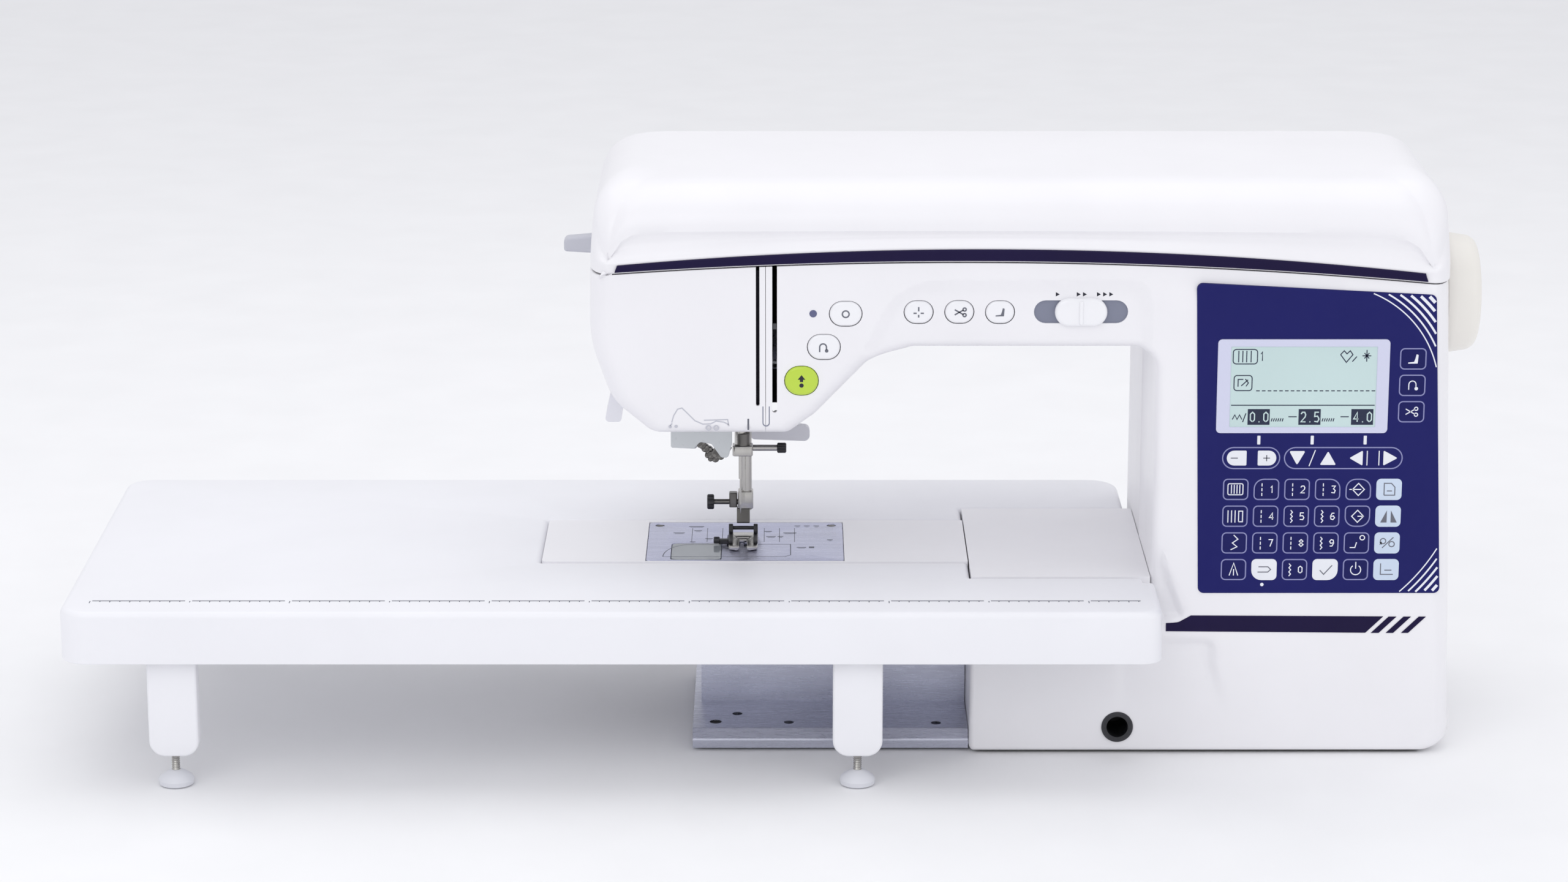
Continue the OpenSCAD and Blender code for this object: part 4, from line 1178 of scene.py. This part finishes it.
def make_slider():
    at = centre_of("speed_slider")
    floor = front_y(at.x, at.z) + 0.9
    track = prism(pill_outline(at.x, at.z, TRACK_HALF[0] + 0.6, TRACK_HALF[1] + 0.6), floor, floor + 2.4,
                  "y", 0, 0,
                  holes=[pill_outline(at.x, at.z, 12.8, 1.6)], arc=10)
    piece("speed_track", track, TRACK_GREY, "machine")
    face = front_y(at.x, at.z) - 2.9
    knob = prism(pill_outline(at.x, at.z, 13.2, 7.2), face, floor - 0.1, "y", 2.0, 0.6, steps=5, arc=10)
    stem = prism(pill_outline(at.x, at.z, 3, 1.3), floor - 0.2, floor + 6)
    ridge = prism(box_outline(at.x - 1.0, at.z - 6.1, at.x + 1.0, at.z + 6.1, 0.9), face - 0.8, face + 1,
                  "y", 0.6, 0, arc=5)
    piece("speed_knob", together([knob, stem, ridge]), GLOSS_WHITE, "speed",
          ["speed_slider"], sharp=60)
    marks = []
    for x in (158.4, 168.9, 172.0, 179.0, 182.1, 185.2):
        marks.append([(x - 0.9, 241.2, 0), (x + 1.1, 242.3, 0), (x - 0.9, 243.4, 0)])
    printed("speed_marks", [], marks, 0.4, front_y(170, 242.3) - 0.05, DARK_INK, "machine",
            0.3)


def make_head_prints():
    led_y = front_y(*LED_AT)
    piece("status_lamp", lathe([(led_y - 0.4, 0.01), (led_y - 0.4, 1.4), (led_y - 0.1, 1.9),
                                (led_y + 1.5, 1.9)],
                               (LED_AT[0], 0, LED_AT[1]), "y", 28), LED, "machine")
    face = FRONT_Y - 0.05
    left_foot = [[(-35.2, 176.6), (-34.2, 180.2), (-32.2, 183.6), (-30, 184.2), (-27, 181.2),
                  (-23.5, 177.6), (-19.5, 175.8),
                   (-15.5, 176.0), (-12.8, 177.4), (-8.8, 176.8), (-6.6, 175.6)],
                 (ring_path(-16.6, 173.8, 1.2, count=14), True),
                 (ring_path(-12.8, 173.8, 1.2, count=14), True),
                 [(-19, 177.8), (-7, 178.2), (-6.4, 174.8)], [(-36, 175.0), (-35, 176.2)]]
    printed("thread_path", left_foot,
            [pill_outline(-36, 174.4, 0.8, 0.8), pill_outline(-33, 174.6, 0.8, 0.8)], 0.6, face,
            TRIM_GREY, "machine", 0.3)
    bend = ring_path(12.4, 176.4, 1.6, math.pi, math.pi, 8)
    u_mark = [[(10.8, 185), (10.8, 176.4)] + bend[1:] + [(14.0, 185)]]
    printed("thread_guide_mark", u_mark, [], 0.5, face, TRACK_GREY, "machine", 0.3)
    printed("needle_side_mark", [[(3.4, 172.8), (3.4, 178.6)]], [], 0.9, face, INK, "machine",
            0.3)
    # Painted shade: dark sheets behind and beside the thread slots stand in for the shadow inside them.
    shade_sheets = [prism(box_outline(3, 180, 11.4, 254), FRONT_Y + 5, FRONT_Y + 6)]
    shade_sheets += [prism(box_outline(x, 178, x + 0.5, 254), FRONT_Y + 4, FRONT_Y + 28) for x in (14.6, 18.2)]
    shade_sheets.append(prism(box_outline(10, 176, 23, 254), FRONT_Y + 43, FRONT_Y + 44))
    piece("slot_painted_shade", together(shade_sheets), SLOT_SHADE, "machine")


def make_lower_stripe():
    shapes = [[(216.2, 67.1, 0), (318.0, 66.3, 0), (326.8, 75.0, 0), (228.8, 75.5, 0), (222.5, 71.9, 5),
               (216.2, 71.3, 0)]]
    for x in (320.8, 328.4, 336.2):
        shapes.append([(x, 66.2, 0), (x + 4.0 - 0.1 * (x - 320) / 4, 66.2, 0),
                       (x + 12.8 - 0.1 * (x - 320) / 4, 74.9, 0), (x + 8.8, 74.9, 0)])
    front = FRONT_Y - 2.0
    bands = [prism(s, front - 0.35, front + 1.2, "y", 0.15, 0) for s in shapes]
    piece("lower_stripe", together(bands), PURPLE, "machine")


make_buttons()
make_slider()
make_head_prints()
make_lower_stripe()

# ---- control panel --------------------------------------------------------------------------

PANEL_FACE = span_of("control_panel")[0].y
PANEL_PLAN = [(232, 87.5, 3), (355, 87.5, 3), (347.6, 243.1, 3), (227.6, 249.1, 3)]
LCD_BOX = (238.9, 171.9, 325.2, 220.5)
WINDOW = (245.6, 175.1, 318.9, 216.7)

GLYPHS = {
    "0": [(0.5, 0), (0.1, 0.2), (0.1, 0.8), (0.5, 1), (0.9, 0.8), (0.9, 0.2), (0.5, 0)],
    "1": [(0.5, 0), (0.5, 1), (0.2, 0.75)],
    "2": [(0.05, 0.8), (0.3, 1), (0.75, 1), (0.95, 0.75), (0.85, 0.5), (0.05, 0), (0.95, 0)],
    "3": [(0.1, 1), (0.9, 1), (0.5, 0.6), (0.9, 0.35), (0.7, 0), (0.05, 0.05)],
    "4": [(0.75, 0), (0.75, 1), (0.05, 0.3), (0.98, 0.3)],
    "5": [(0.9, 1), (0.15, 1), (0.1, 0.55), (0.65, 0.6), (0.95, 0.3), (0.7, 0), (0.05, 0.05)],
    "6": [(0.9, 0.95), (0.4, 0.95), (0.05, 0.5), (0.15, 0.1), (0.6, 0), (0.95, 0.28), (0.7, 0.55),
          (0.1, 0.45)],
    "7": [(0.05, 1), (0.95, 1), (0.4, 0)],
    "8": [(0.5, 0.52), (0.1, 0.76), (0.5, 1), (0.9, 0.76), (0.5, 0.52), (0.05, 0.26), (0.5, 0),
          (0.95, 0.26), (0.5, 0.52)],
    "9": [(0.1, 0.05), (0.6, 0.05), (0.95, 0.5), (0.85, 0.9), (0.4, 1), (0.05, 0.72), (0.3, 0.45),
          (0.9, 0.55)],
    ".": [(0.4, 0.0), (0.6, 0.0)],
}


def number(text, x, z, width, height):
    """Strokes of a number whose lower left corner is at x, z."""
    strokes = []
    for k, sign in enumerate(text):
        strokes.append([(x + k * width * 1.3 + p[0] * width, z + p[1] * height) for p in GLYPHS[sign]])
    return strokes


def make_panel():
    piece("panel_film", prism(PANEL_PLAN, PANEL_FACE, FRONT_Y, "y", 0.5, 0, arc=8), PANEL_BLUE, "machine",
          ["control_panel"])
    edge = rounded(inset(PANEL_PLAN, 0.7), 8)
    arcs = []
    for cx, cz, first, start in ((294.3, 192.2, 56.1, 0.25), (271.0, 157.8, 94.0, -0.95)):
        for k in range(6):
            r = first + 2.9 * k
            path = [(cx + r * math.cos(start + 0.012 * n), cz + r * math.sin(start + 0.012 * n))
                    for n in range(90)]
            path = [p for p in path if inside(p, edge)]
            if len(path) > 3:
                arcs.append(ribbon(path, 0.6 + 0.22 * k, PANEL_FACE - 0.05, PANEL_FACE + 0.2))
    piece("panel_arcs", together(arcs), PRINT_WHITE, "machine")
    x0, z0, x1, z1 = LCD_BOX
    wx0, wz0, wx1, wz1 = WINDOW
    piece("lcd_bezel", prism(box_outline(x0, z0, x1, z1, 2.2), PANEL_FACE - 0.7, PANEL_FACE + 0.3, "y", 0.3,
                             0,
                             holes=[box_outline(wx0, wz0, wx1, wz1, 0.4)]), BEZEL, "machine")
    piece("lcd_glass", prism(box_outline(wx0, wz0, wx1, wz1, 0.2), PANEL_FACE - 0.3, PANEL_FACE + 0.5),
          DISPLAY, "machine",
          ["lcd_screen"])
    make_lcd_content(PANEL_FACE - 0.34)
    make_keys(PANEL_FACE)


def make_lcd_content(face):
    strokes = [(rounded([(246.6, 207.8, 1.6), (258.8, 207.8, 1.6), (258.8, 215.3, 1.6),
                         (246.6, 215.3, 1.6)], 4), True)]
    strokes += [[(x, 208.6), (x, 214.6)] for x in (249.4, 251.4, 253.4, 255.6)]
    strokes += number("1", 260.0, 209.4, 2.6, 4.6)
    strokes += [[(300.4, 212.6), (302.2, 214.6), (303.6, 213.0), (305.2, 214.6), (306.6, 212.6),
                 (303.4, 208.6), (300.4, 212.6)],
                [(306.4, 209.0), (308.6, 211.6)], [(313.6, 209.0), (313.6, 215.0)],
                [(311.4, 212.0), (315.8, 212.0)],
                [(312.4, 210.6), (314.8, 213.4)], [(314.8, 210.6), (312.4, 213.4)]]
    strokes += [(rounded(box_outline(247.4, 194.0, 256.4, 201.8, 1.4), 4), True),
                [(249.4, 196.0), (249.4, 199.8), (252.0, 199.8)],
                [(251.0, 196.4), (254.4, 199.6)], [(253.0, 200.0), (254.6, 198.0), (253.4, 196.2)]]
    strokes += [[(258.6 + 2.9 * k, 193.9), (260.4 + 2.9 * k, 193.9)] for k in range(21)]
    strokes += [[(246.2, 186.4), (318.4, 186.4)]]
    wave = [(247.0, 179.0), (248.2, 181.4), (249.4, 179.0), (250.6, 181.4), (251.8, 179.0)]
    strokes += [wave, [(252.2, 177.6), (253.8, 182.2)]]
    for x in (266.6, 292.2):
        strokes += [[(x + 1.1 * k, 178.0), (x + 0.5 + 1.1 * k, 179.6)] for k in range(6)]
    for x in (275.2, 301.4):
        strokes += [[(x, 180.4), (x + 4.2, 180.4)]]
    boxes = [box_outline(x, 176.2, x + 11.1, 184.4) for x in (254.7, 280.3, 306.8)]
    printed("lcd_marks", strokes, boxes, 0.5, face, PIXELS, "machine", 0.1)
    digits = []
    for text, x in (("0.0", 255.8), ("2.5", 281.4), ("4.0", 307.9)):
        digits += number(text, x, 177.8, 2.6, 5.0)
    printed("lcd_digits", digits, [], 0.6, face - 0.08, DISPLAY, "machine", 0.1)


KEY_LEFT, KEY_TOP = 243.3, 136.8
KEY_STEP_X, KEY_STEP_Z = 15.5, 14.1
KEY_WIDE, KEY_HIGH = 12.9, 11.2
WHITE_KEYS = ((3, 1), (3, 3))
# Corners with a larger radius: which of the four, counted from the lower left.
KEY_CORNERS = {(0, 1): 3, (0, 3): 2, (0, 4): (2, 3), (1, 4): (0, 1), (3, 1): 0, (3, 3): 1}


def key_corner(row, column):
    """Lower left corner of a key."""
    return KEY_LEFT + KEY_STEP_X * column, KEY_TOP - KEY_STEP_Z * row


def key_outline(row, column):
    x, z = key_corner(row, column)
    outline = box_outline(x, z, x + KEY_WIDE, z + KEY_HIGH, 2.4)
    turned = KEY_CORNERS.get((row, column), ())
    for i in (turned if isinstance(turned, tuple) else (turned,)):
        outline[i] = (outline[i][0], outline[i][1], 5.2)
    return outline


def make_keys(face):
    rings, caps, pale, white = [], [], [], []
    for row in range(4):
        for column in range(6):
            outline = key_outline(row, column)
            if column == 5:
                pale.append(outline)
            elif (row, column) in WHITE_KEYS:
                white.append(outline)
            else:
                rings.append(outline)
                caps.append(inset(outline, 1.0))
    for z in (204.8, 191.1, 177.4):
        outline = box_outline(330.3, z, 343.6, z + 11.1, 2.4)
        rings.append(outline)
        caps.append(inset(outline, 1.0))
    rings.append(pill_outline(257.1, 158.8, 14.7, 5.8))
    rings.append(pill_outline(303.6, 158.8, 30.0, 5.8))
    piece("key_rings", together([ribbon(rounded(inset(o, 0.3), 7), 0.6, face - 0.08, face + 0.2, "y", True)
                                 for o in rings]),
          KEY_LINE, "machine")
    piece("key_caps", together([prism(o, face - 0.14, face + 0.2, "y", 0.1, 0) for o in caps]), KEY_BLUE,
          "machine")
    piece("pale_keys", together([prism(o, face - 0.2, face + 0.2, "y", 0.15, 0) for o in pale]), KEY_PALE,
          "machine")
    arrows = [[(284.2, 162.4, 0.4), (280.3, 155.4, 0.4), (276.4, 162.4, 0.4)],
              [(291.8, 155.2, 0.4), (300.0, 155.2, 0.4), (295.9, 162.4, 0.4)],
              [(313.4, 154.8, 0.4), (313.4, 162.8, 0.4), (306.6, 158.8, 0.4)],
              [(323.8, 154.8, 0.4), (331.0, 158.8, 0.4), (323.8, 162.8, 0.4)]]
    pads = [[(244.8, 154.9, 3.8), (254.8, 154.9, 0.6), (254.8, 162.7, 0.6), (244.8, 162.7, 3.8)],
            [(260.4, 154.9, 0.6), (269.8, 154.9, 3.8), (269.8, 162.7, 3.8), (260.4, 162.7, 0.6)]]
    ticks = [box_outline(x - 0.8, 165.9, x + 0.8, 170.5, 0.3) for x in (260.7, 287.6, 314.3)]
    solid = [prism(o, face - 0.2, face + 0.2, "y", 0.12, 0) for o in white + pads + arrows + ticks]
    piece("white_keys", together(solid), KEY_WHITE, "machine")
    marks = [[(286.4, 154.6), (289.4, 163.0)], [(315.6, 155), (315.6, 162.6)],
             [(321.6, 155), (321.6, 162.6)]]
    for row in range(4):
        for column in range(1, 4):
            if (row, column) in WHITE_KEYS:
                continue
            x, z = key_corner(row, column)
            digit = "0" if row == 3 else str(row * 3 + column)
            marks += number(digit, x + 8.2, z + 3.8, 2.3, 3.6)
            if digit in "5690":
                marks.append([(x + 3.6 + 0.9 * (k % 2), z + 2.2 + 1.1 * k) for k in range(7)])
            else:
                marks += [[(x + 4.2, z + 2.2 + 2.5 * k), (x + 4.2, z + 3.8 + 2.5 * k)] for k in range(3)]
    marks += icons_left() + icons_memory()
    marks += u_turn(337.0, 196.6, 0.9) + scissors(336.6, 183.0, 0.95)
    fills = [foot_icon(337.0, 210.2, 0.85), pill_outline(339.0, 195.0, 0.9, 0.9),
             pill_outline(264.4, 92.2, 0.9, 0.9)]
    printed("key_marks", marks, fills, 0.5, face - 0.22, PRINT_WHITE, "machine", 0.12)
    dark = [[(246.8, 158.8), (250.4, 158.8)], [(263.2, 158.8), (266.6, 158.8)],
            [(264.9, 157.2), (264.9, 160.4)]]
    dark += [[(262.4, 101.6), (267.2, 101.6), (268.6, 100.2), (267.2, 98.8), (262.0, 98.8)],
             [(293.6, 99.8), (295.6, 97.6), (299.8, 102.4)]]
    dark += [[(324.8, 139.4), (324.8, 145.6), (328.4, 145.6), (330.2, 143.6), (330.2, 139.4),
              (324.8, 139.4)], [(326.2, 141.6), (328.8, 141.6)]]
    dark += [[(323.6, 113.4 + 1.4 * (k % 2)), (324.6, 114.8 - 1.4 * (k % 2))] for k in range(2)]
    dark += [(ring_path(325.2, 115.2, 1.4, count=12), True), (ring_path(329.6, 113.6, 1.4, count=12), True),
             [(324.8, 111.6), (330.4, 117.2)]]
    dark += [[(324.4, 103.4), (324.4, 97.6), (330.8, 97.6)], [(326.4, 99.8), (330.0, 99.8)]]
    mirrors = [[(323.4, 125.0, 0), (326.6, 125.0, 0), (326.6, 131.4, 0)],
               [(328.6, 125.0, 0), (331.8, 125.0, 0), (328.6, 131.4, 0)]]
    printed("key_dark_marks", dark, mirrors, 0.5, face - 0.24, INK, "machine", 0.12)


def icons_left():
    """Icons of the pattern keys in the first column."""
    marks = [(rounded(box_outline(245.8, 139.6, 253.4, 145.4, 0.8), 3), True)]
    marks += [[(247.6 + 1.4 * k, 140.2), (247.6 + 1.4 * k, 144.8)] for k in range(4)]
    marks += [[(246.2 + 1.8 * k, 125.0), (246.2 + 1.8 * k, 131.4)] for k in range(3)]
    marks += [[(251.6, 125.4), (253.6, 125.4), (253.6, 131.0), (251.6, 131.0), (251.6, 125.4)]]
    marks += [[(248.0, 110.6), (251.2, 112.2), (248.8, 114.2), (251.6, 116.2), (249.4, 118.4)]]
    marks += [[(247.6, 97.0), (249.8, 103.6), (252.0, 97.0)], [(249.8, 97.0), (249.8, 100.4)]]
    return marks


def icons_memory():
    """Icons of the fifth column: store, recall, foot and power."""
    marks = []
    for z, side in ((142.4, -1), (128.3, 1)):
        marks.append(([(308.8, z), (311.8, z + 3.2), (314.8, z), (311.8, z - 3.2)], True))
        marks.append([(311.8 - 4.6 * (side < 0), z), (313.2 + 1.6 * (side > 0), z)])
    marks += [[(308.4, 111.8), (311.0, 111.8), (311.8, 114.6)],
              (ring_path(314.6, 117.0, 1.2, count=12), True)]
    marks.append(ring_path(311.8, 100.0, 2.6, math.radians(125), math.radians(290), 16))
    marks.append([(311.8, 100.6), (311.8, 104.2)])
    return marks


make_panel()

# ---- needle, foot and the parts under the head ----------------------------------------------


def knurled(x, y, z, radius, length):
    """A grooved thumb knob on an axis along X."""
    return cylinder(x, y, z, radius, length, "x", 0.5, 60, 15)


def make_needle_parts():
    low, high = span_of("needle_clamp")
    at = (low + high) / 2
    block = prism(box_outline(low.x, low.y, high.x, high.y, 1.6), low.z, low.z + 5.4, "z", 0.5)
    sleeve_r = min(high.x - low.x, high.y - low.y) / 2 - 0.4
    sleeve = cylinder(at.x, at.y, low.z + 5.2, sleeve_r, high.z - low.z - 5.2)
    piece("clamp_block", block, CHROME, "needle_unit", ["needle_clamp"])
    piece("clamp_sleeve", sleeve, DARK_STEEL, "needle_unit")
    low, high = span_of("needle_clamp_screw")
    y, z = (low.y + high.y) / 2, (low.z + high.z) / 2
    piece("clamp_rod", cylinder(low.x, y, z, 1.6, high.x - low.x - 4.6, "x"), CHROME, "clamp_screw",
          ["needle_clamp_screw"])
    piece("clamp_knob", knurled(high.x - 4.8, y, z, (high.z - low.z) / 2 - 0.9, 4.8), BLACK, "clamp_screw")
    low, high = span_of("foot_holder_screw")
    y, z = (low.y + high.y) / 2, (low.z + high.z) / 2
    piece("holder_rod", cylinder(low.x + 3.4, y, z, 1.4, high.x - low.x - 3.4, "x"), DARK_STEEL,
          "holder_screw",
          ["foot_holder_screw"])
    piece("holder_knob", knurled(low.x, y, z, (high.z - low.z) / 2, 3.6), BLACK, "holder_screw")


def make_foot():
    low, high = span_of("presser_foot")
    sole_z = low.z
    toes = [(-7.6, low.y + 3, 2.5), (-2.2, low.y, 1.4), (-1.9, -3.0, 0.4), (1.9, -3.0, 0.4),
            (2.2, low.y, 1.4), (7.6, low.y + 3, 2.5),
            (7.8, 11.0, 2.0), (-7.8, 11.0, 2.0)]
    needle_slot = box_outline(-3.4, -1.4, 3.4, 1.4, 1.2)
    sole = prism(toes, sole_z, sole_z + 1.5, "z", 0.4, 0.5, holes=[needle_slot])
    tips = []
    for side in (-1, 1):
        x0, x1 = sorted((side * 2.0, side * 7.0))
        tip = [(low.y + 0.4, sole_z + 0.9, 0.3), (low.y + 5, sole_z + 0.5, 0.3),
               (low.y + 5, sole_z + 1.7, 0.3), (low.y + 0.4, sole_z + 2.7, 0.6)]
        tips.append(prism(tip, x0, x1, "x", 0.3))
    piece("foot_sole", together([sole] + tips), CHROME, "presser_unit", ["presser_foot"])
    fork = []
    for x in (-7.6, 5.4):
        side_plate = [(-12.0, sole_z + 1.2, 1.0), (10.9, sole_z + 1.2, 0.4), (10.6, sole_z + 6.0, 1.5),
                      (5.4, sole_z + 7.6, 1.5),
                      (3.2, sole_z + 3.2, 2.0), (-11.0, sole_z + 2.8, 1.0)]
        fork.append(prism(side_plate, x, x + 2.2, "x", 0.3))
    fork.append(cylinder(-7.2, 8.2, sole_z + 4.6, 1.0, 14.4, "x"))
    piece("foot_fork", together(fork), BLACK, "presser_unit")
    guide = [prism(box_outline(-12.6, -8.4, -7.2, -5.2, 0.8), sole_z + 0.3, sole_z + 2.8, "z", 0.3),
             cylinder(-15.4, -6.8, sole_z + 2.2, 1.8, 3.2, "x", 0.4)]
    piece("foot_button", together(guide), BLACK, "presser_unit")


def make_holder():
    collar = prism(box_outline(-2.8, 8.2, 5.2, 15.8, 1.2), 109.0, 118.4, "z", 0.5)
    neck = prism([(5.4, 101.8, 0.8), (11.0, 101.8, 0.8), (13.6, 109.2, 0.6), (8.4, 109.2, 0.6)], -3.4, 3.4,
                 "x", 0.4)
    lever = prism([(13.0, 100.4, 0.6), (15.4, 100.4, 0.6), (16.2, 106.0, 0.6), (12.6, 106.0, 0.6)], -2.6,
                  2.6, "x", 0.3)
    ear = prism(box_outline(-7.4, 9.6, -3.2, 14.4, 0.8), 109.4, 117.2, "z", 0.4)
    piece("holder_collar", collar, CHROME, "presser_unit", ["foot_holder"])
    piece("holder_neck", together([neck, lever, ear]), DARK_STEEL, "presser_unit")


def make_threader():
    """The threading lever at the left of the head, its slide, and the hook by the needle."""
    low, high = span_of("needle_threader")
    y = high.y - 5.0
    handle = [(low.x, 241.4, 1.6), (-80, 240.6, 1.2), (-76, 240.8, 0.4), (-76, 249.6, 0.4),
              (-80, 249.8, 1.2), (low.x, 248.6, 2.6)]
    parts = [prism(handle, y - 4.6, y + 4.6, "y", 1.4),
             prism(box_outline(-77, 241.6, -62, 248.8, 0.6), y - 2.3, y + 2.3, "y", 0.3),
             prism(box_outline(-64, 236.2, -60, 248.8, 0.6), -2.2, y + 2.2, "y", 0.3),
             prism(box_outline(-62, 236.2, -24.2, 239.8, 0.6), -2.2, 2.2, "y", 0.3),
             prism(box_outline(-28, 151, -24.2, 239.8, 0.6), -2.2, 2.2, "y", 0.3)]
    piece("threader_slide", together(parts), TRIM_GREY, "threader", ["needle_threader"])
    bracket = [(-27.6, 146.6, 1.0), (-24.6, 146.6, 1.0), (-22.0, 149.4, 0.8), (-22.0, 156.0, 0.8),
               (-27.6, 156.0, 0.8)]
    lobes = [(-21.0, 152.4, 1.9), (-19.4, 150.4, 1.8), (-17.4, 149.2, 1.7), (-16.2, 147.0, 1.9),
             (-18.2, 146.6, 1.2),
             (-14.2, 144.8, 1.7), (-11.4, 146.2, 1.6), (-16.8, 144.6, 1.0)]
    dark = [cylinder(x, -13.8 + 0.25 * (k % 3), z - 2.6, r + 0.3, 3.4, "y", 0.4)
            for k, (x, z, r) in enumerate(lobes)]
    dark.append(lathe([(-13.9, 1.2), (-13.9, 2.4), (-10.6, 2.4), (-10.6, 1.2)], (-13.6, 0, 145.4), "y", 28))
    dark.append(cylinder(-22.4, -13.0, 149.4, 1.4, 12.4, "y"))
    dark.append(prism([(-11.4, 143.6, 0.5), (-8.2, 143.8, 0.8), (-5.6, 147.8, 0.3), (-6.2, 148.4, 0.3),
                       (-8.6, 145.4, 0.8), (-11.4, 145.4, 0.5)], -12.4, -11.2))
    piece("threader_bracket", prism(bracket, -9.6, 2.2, "y", 0.6), TRIM_GREY, "threader")
    piece("threader_hook", together(dark), DARK_STEEL, "threader")


def make_head_underside():
    """The pale guard that hangs under the head, left of the needle."""
    guard = [(-37.0, 151.0, 1), (-25.0, 150.4, 1), (-22.0, 154.0, 2), (-16.0, 153.0, 2), (-11.0, 145.6, 2),
             (-7.4, 145.6, 2),
             (-5.4, 153.0, 1), (-5.4, 166.0, 0.5), (-37.0, 166.0, 0.5)]
    piece("mouth_guard", prism(guard, -24.0, -21.6, "y", 0.6), CLEAR_GREY, "machine")


make_needle_parts()
make_foot()
make_holder()
make_threader()
make_head_underside()

# ---- spool pin, winder and base plate -------------------------------------------------------


def make_spool_and_winder():
    top = span_of("spool_pin")[1].z
    floor = seam_z(49) - 3.2
    post = prism(box_outline(44, 22, 54, 38, 2.5), floor, top - 0.6, "z", 0, 1.5)
    rod = cylinder(52, 30, 273, 2.9, 76, "x", 0.8)
    disc = lathe([(112, 3), (112, 10.2), (112.8, 11), (115.2, 11), (116, 10.2), (116, 3)], (0, 30, 273),
                 "x", 48)
    piece("spool_holder", together([post, rod, disc]), TRIM_GREY, "machine", ["spool_pin"])
    low, high = span_of("bobbin_winder")
    at = (low + high) / 2
    foot = seam_z(at.x) - 3.2
    profile = [(foot, 13), (foot, 13.4), (260.2, 13.9), (261.2, 13.2), (261.2, 4), (262, 3),
               (high.z - 1, 2.8), (high.z, 2), (high.z, 0.01)]
    piece("winder_seat", lathe(profile, (at.x, at.y, 0), "z", 48), TRIM_GREY, "winder",
          ["bobbin_winder"])


make_spool_and_winder()

# ---- soft edges on the CAD nodes that stay --------------------------------------------------

SOFTENED = {"free_arm_cover": 0.4, "bed_cover": 0.4, "base_plate": 0.7, "presser_lever": 0.8,
            "thread_cutter": 0.8, "power_switch": 0.5, "power_inlet": 0.5, "rubber_feet": 0.6,
            "knee_lifter_socket": 0.4}


def soften():
    for node, width in SOFTENED.items():
        obj = frame["nodes"][node]
        edge = obj.modifiers.new("edge", "BEVEL")
        edge.width = width * MM
        edge.segments = 3
        edge.limit_method = "ANGLE"
        edge.angle_limit = math.radians(40)


soften()
